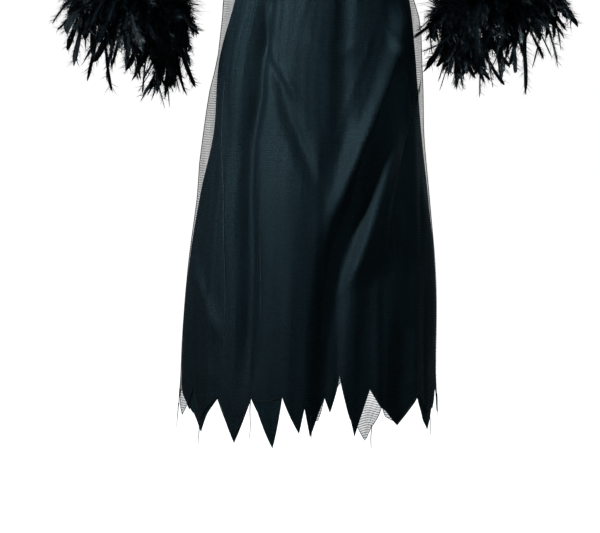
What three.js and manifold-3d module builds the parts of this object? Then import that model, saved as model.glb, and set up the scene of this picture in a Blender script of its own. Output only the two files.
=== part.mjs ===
// A child's long witch dress, hollow, standing as if worn. Black bodice and long sleeves, an ankle-length
// skirt whose hem is cut in points, a sheer overskirt of gauze hung over it from the waist seam, and a boa
// of feathers sewn round each sleeve's hem.
//
// Millimetres. The origin is midway between the shoulders, where the wearer carries the dress. +X is the
// side that a viewer facing the dress has on the right, the front faces -Y, and +Z is up. A turn is an angle
// in degrees round the dress, seen from above: 0 is the middle of the front, 90 the +X side, 180 the back.
import * as THREE from "three";
import { mergeVertices } from "three/addons/utils/BufferGeometryUtils.js";
import Module from "manifold-3d";

const wasm = await Module();
wasm.setup();

// Driving dimensions.
const CLOTH = 1.4; // wall of the dress cloth
const GAUZE = 1.0; // wall of the sheer overskirt
const SEAM = 0.3; // gap between two pieces that are sewn together
const WAIST = -305; // height of the waist seam
const SEAM_TURN = 0.1; // half the gap at a side or back seam, as a turn
const SHOULDER_START = -110; // height where the chest begins to slope in to the shoulder seams
const WIDEST_FACET = 5.2; // of the skirt, as a turn
const CUFF_RISE = 6; // how far above the sleeve's edge the boa's core lies
const BOA_CORE = 8; // radius of the boa's core
const FEATHERS = 56; // feathers round each sleeve

// The body of the dress, from the shoulders to the points of the hem: each level's middle, half width and
// half depth.
const SECTIONS = [
  { z: 20, middle: 0, halfWidth: 158, halfDepth: 62 },
  { z: -40, middle: 0, halfWidth: 152, halfDepth: 78 },
  { z: -100, middle: 0, halfWidth: 136, halfDepth: 88 },
  { z: -150, middle: 0, halfWidth: 126, halfDepth: 90 },
  { z: -170, middle: 0, halfWidth: 122, halfDepth: 89 },
  { z: -225, middle: 3, halfWidth: 112, halfDepth: 86 },
  { z: -305, middle: 6, halfWidth: 106, halfDepth: 82 },
  { z: -370, middle: 9, halfWidth: 114, halfDepth: 92 },
  { z: -440, middle: 12, halfWidth: 129, halfDepth: 101 },
  { z: -530, middle: 5, halfWidth: 146, halfDepth: 109 },
  { z: -640, middle: 5, halfWidth: 155, halfDepth: 118 },
  { z: -730, middle: 0, halfWidth: 170, halfDepth: 126 },
  { z: -840, middle: -4, halfWidth: 184, halfDepth: 134 },
  { z: -960, middle: -8, halfWidth: 190, halfDepth: 142 },
  { z: -1110, middle: -10, halfWidth: 192, halfDepth: 150 },
];

// Heights of the rows of facets down the skirt, above the hem.
const SKIRT_ROWS = [WAIST, -350, -410, -475, -545, -615, -685, -755, -825, -895, -965];

// Folds of the skirt, a row each: a line down the cloth through three places, how wide it spreads to each
// side (degrees), and how far it stands out (+) or sinks in (-). A fold whose low end is below the hem runs
// out through it.
const FOLDS = [
  // front, from the wearer's hips: they fan out from both hips and cross the middle
  { top: -430, topTurn: 50, mid: -640, midTurn: 21, low: -810, lowTurn: 9, spread: 5, rise: 9 },
  { top: -470, topTurn: 48, mid: -715, midTurn: 22, low: -1300, lowTurn: 5, spread: 5, rise: -17 },
  { top: -610, topTurn: 48, mid: -751, midTurn: 27, low: -880, lowTurn: 15, spread: 4, rise: 9 },
  { top: -540, topTurn: 74, mid: -681, midTurn: 47, low: -800, lowTurn: 34, spread: 3.5, rise: -7 },
  { top: -480, topTurn: 46, mid: -550, midTurn: 53, low: -620, lowTurn: 60, spread: 3.5, rise: 4 },
  { top: -600, topTurn: 66, mid: -733, midTurn: 53, low: -900, lowTurn: 50, spread: 4, rise: -7 },
  { top: -660, topTurn: 71, mid: -812, midTurn: 76, low: -1000, lowTurn: 77, spread: 5, rise: 4 },
  { top: -400, topTurn: -42, mid: -640, midTurn: -38, low: -1020, lowTurn: -31, spread: 4, rise: -9 },
  { top: -400, topTurn: -54, mid: -640, midTurn: -48, low: -900, lowTurn: -46, spread: 6, rise: 5 },
  { top: -430, topTurn: -44, mid: -570, midTurn: -20, low: -720, lowTurn: 3, spread: 3.5, rise: -6 },
  { top: -380, topTurn: 11, mid: -590, midTurn: 7, low: -770, lowTurn: 3, spread: 5, rise: -8 },
  { top: -520, topTurn: -15, mid: -780, midTurn: -12, low: -1300, lowTurn: -12, spread: 10, rise: 7 },
  { top: -800, topTurn: -57, mid: -880, midTurn: -48, low: -950, lowTurn: -40, spread: 4, rise: 5 },
  { top: -850, topTurn: -66, mid: -1000, midTurn: -64, low: -1300, lowTurn: -62, spread: 5, rise: -7 },
  { top: -800, topTurn: 30, mid: -950, midTurn: 30, low: -1300, lowTurn: 31, spread: 6, rise: 7 },
  { top: -860, topTurn: 50, mid: -1000, midTurn: 47, low: -1300, lowTurn: 46, spread: 5, rise: -9 },
  // back, hanging from the seat
  { top: -430, topTurn: 112, mid: -700, midTurn: 116, low: -1300, lowTurn: 120, spread: 6, rise: -8 },
  { top: -450, topTurn: 131, mid: -720, midTurn: 133, low: -1300, lowTurn: 136, spread: 6, rise: 10 },
  { top: -470, topTurn: 150, mid: -700, midTurn: 150, low: -1300, lowTurn: 151, spread: 6, rise: -12 },
  { top: -440, topTurn: 167, mid: -690, midTurn: 166, low: -1300, lowTurn: 167, spread: 6, rise: 10 },
  { top: -480, topTurn: 184, mid: -740, midTurn: 183, low: -1300, lowTurn: 184, spread: 6, rise: -13 },
  { top: -440, topTurn: 200, mid: -700, midTurn: 201, low: -1300, lowTurn: 202, spread: 6, rise: 9 },
  { top: -460, topTurn: 217, mid: -730, midTurn: 219, low: -1300, lowTurn: 220, spread: 6, rise: -11 },
  { top: -450, topTurn: 236, mid: -690, midTurn: 237, low: -1300, lowTurn: 239, spread: 6, rise: 9 },
  { top: -520, topTurn: 252, mid: -760, midTurn: 254, low: -1300, lowTurn: 257, spread: 6, rise: -8 },
];

// Gathers where the skirt is sewn to the bodice, which fade out over the hips.
const GATHERS = { count: 18, depth: 2.2, fadeFrom: -320, fadeTo: -450 };

// How far the gauze stands off the skirt at each level: all round, and as much again at its two sides.
const LIFT = [
  { z: -305, all: 1.4, left: 0, right: 0 },
  { z: -370, all: 2.2, left: 8, right: 3 },
  { z: -440, all: 2.2, left: 15, right: 4 },
  { z: -475, all: 2.2, left: 8, right: 9 },
  { z: -530, all: 2.2, left: 0.5, right: 7 },
  { z: -585, all: 2.2, left: 9, right: 5 },
  { z: -640, all: 2.2, left: 13, right: 1.5 },
  { z: -690, all: 2.2, left: 9, right: 0.5 },
  { z: -730, all: 2.2, left: 2.5, right: 0.5 },
  { z: -840, all: 2.2, left: 1, right: 0.5 },
  { z: -960, all: 2.2, left: 1, right: 0.5 },
  { z: -1110, all: 3.6, left: 4, right: 3 },
];

// The hems, cut in points: each corner's turn, with the height of the skirt's hem and of the gauze's there,
// from the left side seam round the front to the right one, and on round the back.
const FRONT_HEM = [
  { turn: -90, skirt: -1006, gauze: -1050 },
  { turn: -84, skirt: -1017, gauze: -1016 },
  { turn: -75, skirt: -1034, gauze: -1058 },
  { turn: -66, skirt: -1054, gauze: -1014 },
  { turn: -57, skirt: -1077, gauze: -1060 },
  { turn: -44, skirt: -1023, gauze: -1021 },
  { turn: -34, skirt: -1086, gauze: -1079 },
  { turn: -25.5, skirt: -1018, gauze: -1016 },
  { turn: -22, skirt: -1038, gauze: -1023 },
  { turn: -15, skirt: -1089, gauze: -1018 },
  { turn: -11, skirt: -1014, gauze: -1012 },
  { turn: -3.7, skirt: -1067, gauze: -1061 },
  { turn: -1.5, skirt: -1030, gauze: -1026 },
  { turn: 1, skirt: -1073, gauze: -1042 },
  { turn: 4.5, skirt: -1042, gauze: -1050 },
  { turn: 7.5, skirt: -1018, gauze: -1016 },
  { turn: 10, skirt: -1040, gauze: -1035 },
  { turn: 14.5, skirt: -986, gauze: -988 },
  { turn: 19.5, skirt: -1046, gauze: -1050 },
  { turn: 22, skirt: -1076, gauze: -1054 },
  { turn: 27, skirt: -1034, gauze: -1082 },
  { turn: 30, skirt: -1008, gauze: -1066 },
  { turn: 36, skirt: -1036, gauze: -1034 },
  { turn: 38, skirt: -1040, gauze: -1049 },
  { turn: 47.5, skirt: -1066, gauze: -1060 },
  { turn: 58, skirt: -1026, gauze: -1018 },
  { turn: 69, skirt: -1078, gauze: -1052 },
  { turn: 80, skirt: -1020, gauze: -1018 },
  { turn: 90, skirt: -1026, gauze: -1060 },
];
const BACK_HEM = [
  { turn: 90, skirt: -1026, gauze: -1060 },
  { turn: 99, skirt: -1060, gauze: -1004 },
  { turn: 109, skirt: -1000, gauze: -1050 },
  { turn: 119, skirt: -1058, gauze: -996 },
  { turn: 129, skirt: -1004, gauze: -1054 },
  { turn: 140, skirt: -1064, gauze: -1000 },
  { turn: 149, skirt: -996, gauze: -1046 },
  { turn: 158, skirt: -1052, gauze: -994 },
  { turn: 167, skirt: -1002, gauze: -1050 },
  { turn: 176, skirt: -1060, gauze: -1000 },
  { turn: 185, skirt: -998, gauze: -1052 },
  { turn: 195, skirt: -1062, gauze: -996 },
  { turn: 205, skirt: -1004, gauze: -1050 },
  { turn: 214, skirt: -1054, gauze: -1002 },
  { turn: 224, skirt: -998, gauze: -1056 },
  { turn: 235, skirt: -1060, gauze: -998 },
  { turn: 246, skirt: -1002, gauze: -1050 },
  { turn: 258, skirt: -1062, gauze: -1004 },
  { turn: 270, skirt: -1006, gauze: -1050 },
];

// Half the bodice's upper edge, in x and z: up the armhole, along the shoulder seam, down the neckline.
const ARMHOLE_FRONT = [
  { x: 127, z: -150 },
  { x: 115, z: -128 },
  { x: 110, z: -98 },
  { x: 115, z: -66 },
  { x: 129, z: -42 },
  { x: 148, z: -24 },
];
const ARMHOLE_BACK = [
  { x: 127, z: -150 },
  { x: 119, z: -128 },
  { x: 116, z: -98 },
  { x: 121, z: -66 },
  { x: 133, z: -42 },
  { x: 148, z: -24 },
];
const NECK_POINT = { x: 58, z: 14 };
const SHOULDER_TIP = { x: 148, z: -24 };
const NECKLINE_FRONT = [
  { x: 58, z: 14 },
  { x: 51, z: -10 },
  { x: 40, z: -31 },
  { x: 22, z: -45 },
  { x: 0, z: -50 },
];
const NECKLINE_BACK = [
  { x: 58, z: 14 },
  { x: 50, z: 3 },
  { x: 34, z: -6 },
  { x: 16, z: -10 },
  { x: 0, z: -11 },
];
const ARMHOLE_STEPS = 9;
const SHOULDER_STEPS = 3;
const NECK_STEPS = 6;
const BODICE_ROWS = [0, 0.27, 0.54, 0.78, 0.93, 1];

// The sleeve, from the armhole to the wrist: where each ring's inner point lies, how steeply the arm runs
// down there (degrees below level), the ring's half width and half depth, and how much of the ring's shape
// is its own and not the armhole's.
const SLEEVE_RINGS = [
  { x: 127.5, z: -150.4, down: 10, halfWidth: 63, halfDepth: 52, own: 0 },
  { x: 128.5, z: -153.5, down: 30, halfWidth: 55, halfDepth: 53, own: 0.7 },
  { x: 129.5, z: -158, down: 49, halfWidth: 47, halfDepth: 52, own: 1 },
  { x: 131, z: -166, down: 62, halfWidth: 43, halfDepth: 50, own: 1 },
  { x: 135, z: -190, down: 69, halfWidth: 41, halfDepth: 48, own: 1 },
  { x: 153, z: -247, down: 72, halfWidth: 40, halfDepth: 45, own: 1 },
  { x: 170, z: -302, down: 72, halfWidth: 41, halfDepth: 44, own: 1 },
  { x: 185, z: -354, down: 72, halfWidth: 44, halfDepth: 45, own: 1 },
  { x: 196, z: -402, down: 72, halfWidth: 50, halfDepth: 49, own: 1 },
  { x: 204, z: -449, down: 72, halfWidth: 58, halfDepth: 55, own: 1 },
];

// The feathers of the boa, in tiers that take turns round the wrist: how steeply each leaves the boa (0
// stands out from the arm, 90 runs down along it), and its length.
const TIERS = [
  { fall: -22, length: 44 },
  { fall: 22, length: 60 },
  { fall: 52, length: 84 },
  { fall: 78, length: 112 },
];

// Feathers that stand out from the rest: which one, counted round the wrist from the outer side by way of
// the back, and where its tip is on the +X side.
const STRAYS_RIGHT = [
  { slot: 55, tipX: 378, tipY: -8, tipZ: -506 },
  { slot: 51, tipX: 356, tipY: -42, tipZ: -540 },
  { slot: 3, tipX: 354, tipY: 24, tipZ: -536 },
  { slot: 35, tipX: 168, tipY: -70, tipZ: -522 },
  { slot: 39, tipX: 222, tipY: -78, tipZ: -576 },
  { slot: 47, tipX: 294, tipY: -70, tipZ: -578 },
  { slot: 19, tipX: 216, tipY: 62, tipZ: -570 },
];
const STRAYS_LEFT = [
  { slot: 55, tipX: 376, tipY: -8, tipZ: -488 },
  { slot: 51, tipX: 360, tipY: -42, tipZ: -532 },
  { slot: 39, tipX: 214, tipY: -76, tipZ: -598 },
  { slot: 47, tipX: 302, tipY: -68, tipZ: -574 },
  { slot: 7, tipX: 318, tipY: 56, tipZ: -562 },
  { slot: 19, tipX: 226, tipY: 66, tipZ: -584 },
];

const degrees = THREE.MathUtils.degToRad;
const mix = THREE.MathUtils.lerp;
const between = THREE.MathUtils.smoothstep;

// A smooth curve through one column of a table whose rows run down in z.
function column(rows, name) {
  const slope = (i) => {
    const before = rows[Math.max(i - 1, 0)];
    const after = rows[Math.min(i + 1, rows.length - 1)];
    return (after[name] - before[name]) / (after.z - before.z);
  };
  return (z) => {
    const last = rows.length - 2;
    const found = rows.findIndex((row, i) => i > 0 && z >= row.z);
    const i = found < 0 ? last : Math.min(found - 1, last);
    const [a, b] = [rows[i], rows[i + 1]];
    const step = b.z - a.z;
    const t = THREE.MathUtils.clamp((z - a.z) / step, 0, 1);
    const [t2, t3] = [t * t, t * t * t];
    const values = (2 * t3 - 3 * t2 + 1) * a[name] + (3 * t2 - 2 * t3) * b[name];
    return values + step * ((t3 - 2 * t2 + t) * slope(i) + (t3 - t2) * slope(i + 1));
  };
}

const middleAt = column(SECTIONS, "middle");
const halfWidthAt = column(SECTIONS, "halfWidth");
const halfDepthAt = column(SECTIONS, "halfDepth");
const liftAt = column(LIFT, "all");
const leftLiftAt = column(LIFT, "left");
const rightLiftAt = column(LIFT, "right");

// The difference of two turns, from -180 to 180.
const turnFrom = (a, b) => THREE.MathUtils.euclideanModulo(a - b + 180, 360) - 180;

// How far one fold moves the cloth at a turn and height.
function foldAt(fold, turn, z) {
  if (z > fold.top || z < fold.low) return 0;
  const upper = z > fold.mid;
  const t = upper ? (fold.top - z) / (fold.top - fold.mid) : (fold.mid - z) / (fold.mid - fold.low);
  const line = upper ? mix(fold.topTurn, fold.midTurn, t) : mix(fold.midTurn, fold.lowTurn, t);
  const along = (fold.top - z) / (fold.top - fold.low);
  const strength = between(along, 0, 0.3) * (1 - between(along, 0.7, 1));
  const away = turnFrom(turn, line) / fold.spread;
  return fold.rise * strength * Math.exp(-away * away * 0.5);
}

// How far the folds and gathers move the skirt's cloth outwards.
function drape(turn, z) {
  const gathered = between(z, GATHERS.fadeTo, GATHERS.fadeFrom) * GATHERS.depth;
  const wave = gathered * Math.cos(degrees(turn * GATHERS.count)) * between(-z, -WAIST, -WAIST + 25);
  return FOLDS.reduce((sum, fold) => sum + foldAt(fold, turn, z), wave);
}

// A point of the skirt's outer face, moved outwards.
function skirtPoint(turn, z, out) {
  const angle = degrees(turn);
  const [wide, deep] = [halfWidthAt(z), halfDepthAt(z)];
  const away = new THREE.Vector2(Math.sin(angle) / wide, -Math.cos(angle) / deep).normalize();
  const moved = drape(turn, z) + out;
  return new THREE.Vector3(
    middleAt(z) + wide * Math.sin(angle) + away.x * moved,
    -deep * Math.cos(angle) + away.y * moved,
    z,
  );
}

// How far the gauze's outer face stands off the skirt's outer face.
function gauzeLift(turn, z) {
  const side = Math.sin(degrees(turn));
  const extra = side < 0 ? leftLiftAt(z) : rightLiftAt(z);
  return liftAt(z) + Math.max(0, extra) * side ** 4;
}

const LAYERS = {
  skirt: { face: (turn, z) => skirtPoint(turn, z, 0), thickness: CLOTH },
  gauze: { face: (turn, z) => skirtPoint(turn, z, gauzeLift(turn, z)), thickness: GAUZE },
};

// The height of one layer's hem at a turn.
function hemAt(hem, layer, turn) {
  const i = Math.max(1, hem.findIndex((corner) => corner.turn >= turn - 1e-9));
  const [a, b] = [hem[i - 1], hem[i]];
  const share = THREE.MathUtils.clamp((turn - a.turn) / (b.turn - a.turn), 0, 1);
  return mix(a[layer], b[layer], share);
}

// The turns of a panel's columns: one at each corner of the hem, and others between them.
function columnTurns(hem, fromTurn, toTurn) {
  const inside = hem.map(({ turn }) => turn).filter((turn) => turn > fromTurn && turn < toTurn);
  const corners = [fromTurn, ...inside, toTurn];
  return corners.flatMap((turn, i) => {
    if (i === 0) return [turn];
    const before = corners[i - 1];
    const steps = Math.ceil((turn - before) / WIDEST_FACET);
    return Array.from({ length: steps }, (_, n) => mix(before, turn, (n + 1) / steps));
  });
}

// The outward normal of a face at two of its own coordinates, by small steps.
function normalAt(face, u, v, stepU, stepV) {
  const alongU = face(u + stepU, v).sub(face(u - stepU, v));
  const alongV = face(u, v + stepV).sub(face(u, v - stepV));
  return alongU.cross(alongV).normalize();
}

// A closed wall of cloth between an outer grid of points and an inner one. grid[row][column] holds the two
// points. Where the cloth closes on itself, as in a sleeve, the last column joins the first. Each cell is
// split along one of its diagonals: falling(row, column) tells which.
function wall(grid, closed, falling) {
  const [rows, columns] = [grid.length, grid[0].length];
  const positions = [];
  for (const row of grid) {
    for (const pair of row) positions.push(...pair.outer.toArray(), ...pair.inner.toArray());
  }
  const outer = (r, c) => 2 * (r * columns + (c % columns));
  const inner = (r, c) => outer(r, c) + 1;
  const faces = [];
  const quad = (a, b, c, d) => faces.push(a, b, c, a, c, d);
  const across = closed ? columns : columns - 1;
  for (let r = 0; r < rows - 1; r++) {
    for (let c = 0; c < across; c++) {
      if (falling(r, c)) {
        quad(outer(r, c), outer(r + 1, c), outer(r + 1, c + 1), outer(r, c + 1));
        quad(inner(r, c), inner(r, c + 1), inner(r + 1, c + 1), inner(r + 1, c));
      } else {
        quad(outer(r + 1, c), outer(r + 1, c + 1), outer(r, c + 1), outer(r, c));
        quad(inner(r, c + 1), inner(r + 1, c + 1), inner(r + 1, c), inner(r, c));
      }
    }
  }
  for (let c = 0; c < across; c++) {
    quad(outer(0, c), outer(0, c + 1), inner(0, c + 1), inner(0, c));
    const low = rows - 1;
    quad(outer(low, c + 1), outer(low, c), inner(low, c), inner(low, c + 1));
  }
  for (let r = 0; r < rows - 1 && !closed; r++) {
    quad(outer(r + 1, 0), outer(r, 0), inner(r, 0), inner(r + 1, 0));
    const side = columns - 1;
    quad(outer(r, side), outer(r + 1, side), inner(r + 1, side), inner(r, side));
  }
  const geometry = new THREE.BufferGeometry();
  geometry.setAttribute("position", new THREE.Float32BufferAttribute(positions, 3));
  geometry.setIndex(faces);
  return geometry;
}

// Whether a cell of a face is nearer to it when split from its upper left corner to its lower right one.
// places[row][column] holds the corners' coordinates, u and v.
function fallsBetter(face, places) {
  return (r, c) => {
    const corners = [places[r][c], places[r + 1][c + 1], places[r][c + 1], places[r + 1][c]];
    const [upperLeft, lowerRight, upperRight, lowerLeft] = corners.map(({ u, v }) => face(u, v));
    const total = corners.reduce((sum, { u, v }) => ({ u: sum.u + u, v: sum.v + v }), { u: 0, v: 0 });
    const middle = face(total.u / 4, total.v / 4);
    const falling = upperLeft.add(lowerRight).multiplyScalar(0.5).distanceTo(middle);
    return falling <= upperRight.add(lowerLeft).multiplyScalar(0.5).distanceTo(middle);
  };
}

// The two points of a wall where a face has the coordinates u and v.
function pairAt(face, u, v, thickness, stepU, stepV) {
  const outer = face(u, v);
  const inner = outer.clone().addScaledVector(normalAt(face, u, v, stepU, stepV), -thickness);
  return { outer, inner };
}

// One panel of a skirt: from the waist to its hem, between two seams.
function skirtPanel(layer, hem, fromTurn, toTurn) {
  const { face, thickness } = LAYERS[layer];
  const turns = columnTurns(hem, fromTurn, toTurn);
  turns[0] += SEAM_TURN;
  turns[turns.length - 1] -= SEAM_TURN;
  const places = SKIRT_ROWS.map((z) => turns.map((turn) => ({ u: turn, v: z })));
  places.push(turns.map((turn) => ({ u: turn, v: hemAt(hem, layer, turn) })));
  const grid = places.map((row) => row.map(({ u, v }) => pairAt(face, u, v, thickness, 0.4, 2)));
  return wall(grid, false, fallsBetter(LAYERS.skirt.face, places));
}

// The height of the shoulder seam over a place across the chest.
function ridgeAt(x) {
  const along = (Math.abs(x) - NECK_POINT.x) / (SHOULDER_TIP.x - NECK_POINT.x);
  return mix(NECK_POINT.z, SHOULDER_TIP.z, along);
}

// A point of the bodice's outer face. rise is 0 where the shoulders start to slope in and 1 at the shoulder
// seam, and below 0 it counts down the chest.
const RISE_HEIGHT = 100;
function bodiceFace(turn, rise) {
  const angle = degrees(turn);
  const slope = degrees(90 * Math.max(rise, 0));
  let z = SHOULDER_START + Math.min(rise, 0) * RISE_HEIGHT;
  let x = middleAt(z) + halfWidthAt(z) * Math.sin(angle);
  for (let pass = 0; pass < 6 && rise > 0; pass++) {
    z = mix(SHOULDER_START, ridgeAt(x), Math.sin(slope));
    x = middleAt(z) + halfWidthAt(z) * Math.sin(angle);
  }
  return new THREE.Vector3(x, -halfDepthAt(z) * Math.cos(angle) * Math.cos(slope), z);
}

// The turn and rise of a place given by x and z, on the front (side 1) or the back (side -1).
function onBodice({ x, z }, side) {
  const share = THREE.MathUtils.clamp((x - middleAt(z)) / halfWidthAt(z), -1, 1);
  const high = THREE.MathUtils.clamp((z - SHOULDER_START) / (ridgeAt(x) - SHOULDER_START), 0, 1);
  const above = THREE.MathUtils.radToDeg(Math.asin(high)) / 90;
  const rise = z > SHOULDER_START ? above : (z - SHOULDER_START) / RISE_HEIGHT;
  const turn = THREE.MathUtils.radToDeg(Math.asin(share));
  return { turn: side > 0 ? turn : 180 - turn, rise };
}

// Evenly spaced points on a smooth curve through the corners of an outline, both ends included.
function along(outline, steps) {
  const curve = new THREE.SplineCurve(outline.map(({ x, z }) => new THREE.Vector2(x, z)));
  return curve.getSpacedPoints(steps).map((p) => ({ x: p.x, z: p.y }));
}

// The upper edge of one half of the bodice, from the side seam to the middle.
function upperEdge(armhole, neckline) {
  const shoulder = [SHOULDER_TIP, NECK_POINT];
  return [
    ...along(armhole, ARMHOLE_STEPS),
    ...along(shoulder, SHOULDER_STEPS).slice(1),
    ...along(neckline, NECK_STEPS).slice(1),
  ];
}

const mirrored = (outline) => outline.map(({ x, z }) => ({ x: -x, z }));

// The highest rise, up to the one wanted, where the wall stays on its own side of the shoulder seam.
function clearOfSeam(turn, wanted) {
  let rise = Math.min(wanted, 1);
  while (Math.abs(bodiceFace(turn, rise).y) < CLOTH + SEAM / 2 + 0.05 && rise > 0.5) rise -= 0.002;
  return rise;
}

const bodicePair = (turn, rise) => pairAt(bodiceFace, turn, rise, CLOTH, 0.3, 0.004);

// One panel of the bodice: its columns run from the waist seam up to its upper edge.
function bodicePanel(edge, side, fromTurn, toTurn) {
  const last = edge.length - 1;
  const lowest = (WAIST + SEAM - SHOULDER_START) / RISE_HEIGHT;
  const places = BODICE_ROWS.map((level) =>
    edge.map((place, c) => {
      const top = onBodice(place, side);
      const seam = c === 0 ? SEAM_TURN : c === last ? -SEAM_TURN : 0;
      const bottomTurn = mix(fromTurn, toTurn, c / last) + seam;
      const limited = THREE.MathUtils.clamp(top.turn, fromTurn + SEAM_TURN, toTurn - SEAM_TURN);
      const turn = mix(bottomTurn, limited, level);
      return { u: turn, v: mix(lowest, clearOfSeam(limited, top.rise), level) };
    }),
  ).reverse();
  const grid = places.map((row) => row.map(({ u, v }) => bodicePair(u, v)));
  return wall(grid, false, fallsBetter(bodiceFace, places));
}

// One ring of the sleeve on the +X side, as a function of the angle round it: 0 is the outer side, 90 the
// back, 180 the side next to the body.
function ringPoint(ring, round, out) {
  const [tilt, angle] = [degrees(ring.down), degrees(round)];
  const outwards = new THREE.Vector3(Math.sin(tilt), 0, Math.cos(tilt));
  const inside = new THREE.Vector3(ring.x, 0, ring.z);
  const middle = inside.addScaledVector(outwards, ring.halfWidth);
  middle.addScaledVector(outwards, (ring.halfWidth + out) * Math.cos(angle));
  middle.y += (ring.halfDepth + out) * Math.sin(angle);
  return middle;
}

// A ring has a point on each side of the shoulder seam and one under the arm.
const RING_POINTS = 2 * ARMHOLE_STEPS + 1;
const roundAt = (i) => (360 * (i + 0.5)) / RING_POINTS;

// The armhole's edge on the +X side, all round: down the back from the shoulder, and up the front.
function armholeLoop() {
  const back = along(ARMHOLE_BACK, ARMHOLE_STEPS).reverse();
  const front = along(ARMHOLE_FRONT, ARMHOLE_STEPS).slice(1);
  const places = [
    ...back.map((place) => onBodice(place, -1)),
    ...front.map((place) => onBodice(place, 1)),
  ];
  return places.map(({ turn, rise }) => bodicePair(turn, clearOfSeam(turn, rise)));
}

// The directions that lead off the bodice at each point of an armhole.
function awayFrom(loop) {
  return loop.map(({ outer, inner }, i) => {
    const [before, after] = [loop.at(i - 1), loop[(i + 1) % loop.length]];
    const away = after.outer.clone().sub(before.outer).cross(outer.clone().sub(inner)).normalize();
    return away.x < 0 ? away.negate() : away;
  });
}

// The sleeve on the +X side: rings of points from the armhole to the wrist, and their inner copies.
function sleeve() {
  const loop = armholeLoop();
  const away = awayFrom(loop);
  const count = loop.length;
  const rings = SLEEVE_RINGS.map((ring) =>
    loop.map((edge, i) => {
      const start = edge.outer.clone().addScaledVector(away[i], SEAM + 0.1);
      return start.lerp(ringPoint(ring, roundAt(i), 0), ring.own);
    }),
  );
  const grid = rings.map((ring, r) =>
    ring.map((outer, i) => {
      const next = ring[(i + 1) % count].clone().sub(ring[(i + count - 1) % count]);
      const above = rings[Math.max(r - 1, 0)][i];
      const below = rings[Math.min(r + 1, rings.length - 1)][i];
      const inwards = next.cross(below.clone().sub(above)).normalize();
      const back = Math.max(0, -inwards.dot(away[i]));
      if (r === 0) inwards.addScaledVector(away[i], back).normalize();
      return { outer, inner: outer.clone().addScaledVector(inwards, CLOTH) };
    }),
  );
  return wall(grid, true, () => true);
}

// A solid of the joining library from a geometry, and back again.
function solid(geometry) {
  const bare = new THREE.BufferGeometry();
  bare.setAttribute("position", geometry.getAttribute("position"));
  bare.setIndex(geometry.index);
  const merged = mergeVertices(bare, 1e-3);
  const mesh = new wasm.Mesh({
    numProp: 3,
    vertProperties: merged.attributes.position.array,
    triVerts: new Uint32Array(merged.index.array),
  });
  return new wasm.Manifold(mesh);
}
function geometryOf(made) {
  const mesh = made.getMesh();
  const geometry = new THREE.BufferGeometry();
  geometry.setAttribute("position", new THREE.BufferAttribute(mesh.vertProperties, 3));
  geometry.setIndex(new THREE.BufferAttribute(mesh.triVerts, 1));
  return geometry;
}

// A closed loop or an open, capped run of sections. Each section is a list of points.
function loft(sections, loop) {
  const sides = sections[0].length;
  const positions = sections.flatMap((section) => section.flatMap((point) => point.toArray()));
  const at = (s, i) => (s % sections.length) * sides + (i % sides);
  const faces = [];
  const runs = loop ? sections.length : sections.length - 1;
  for (let s = 0; s < runs; s++) {
    for (let i = 0; i < sides; i++) {
      faces.push(at(s, i), at(s, i + 1), at(s + 1, i + 1), at(s, i), at(s + 1, i + 1), at(s + 1, i));
    }
  }
  for (let i = 1; i < sides - 1 && !loop; i++) {
    faces.push(at(0, 0), at(0, i + 1), at(0, i));
    faces.push(at(runs, 0), at(runs, i), at(runs, i + 1));
  }
  const geometry = new THREE.BufferGeometry();
  geometry.setAttribute("position", new THREE.Float32BufferAttribute(positions, 3));
  geometry.setIndex(faces);
  return geometry;
}

// Repeatable scatter: the same list of numbers from 0 to 1 on every run.
function scatter(seed) {
  let state = seed;
  return () => {
    state = (state * 16807) % 2147483647;
    return state / 2147483647;
  };
}

// One feather lock: a flat blade of four sides that leaves the core outwards and bends down to its tip.
function feather(root, elbow, tip, width) {
  const curve = new THREE.QuadraticBezierCurve3(root, elbow, tip);
  const stations = [
    { t: 0, share: 0.45 },
    { t: 0.4, share: 1 },
    { t: 0.75, share: 0.75 },
    { t: 1, share: 0.08 },
  ];
  const side = new THREE.Vector3().crossVectors(tip.clone().sub(root), elbow.clone().sub(root));
  if (side.lengthSq() < 1) side.set(0, 1, 0);
  side.normalize();
  const sections = stations.map(({ t, share }) => {
    const middle = curve.getPoint(t);
    const flat = new THREE.Vector3().crossVectors(curve.getTangent(t), side).normalize();
    const [half, thin] = [(width / 2) * share, 0.5 + 0.6 * share];
    return [
      middle.clone().addScaledVector(side, half),
      middle.clone().addScaledVector(flat, thin),
      middle.clone().addScaledVector(side, -half),
      middle.clone().addScaledVector(flat, -thin),
    ];
  });
  return solid(loft(sections, false));
}

const WRIST = SLEEVE_RINGS.at(-1);
const ABOVE_WRIST = SLEEVE_RINGS.at(-2);
const ARM = new THREE.Vector3(Math.cos(degrees(WRIST.down)), 0, -Math.sin(degrees(WRIST.down)));

// The ring of the sleeve that the boa lies round.
const CUFF = Object.fromEntries(
  Object.keys(WRIST).map((key) => {
    const apart = Math.hypot(WRIST.x - ABOVE_WRIST.x, WRIST.z - ABOVE_WRIST.z);
    return [key, mix(WRIST[key], ABOVE_WRIST[key], CUFF_RISE / apart)];
  }),
);

// A point in the boa's core, by the angle round the wrist.
function corePoint(round, out, down) {
  return ringPoint(CUFF, round, SEAM + BOA_CORE + out).addScaledVector(ARM, down);
}

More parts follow.
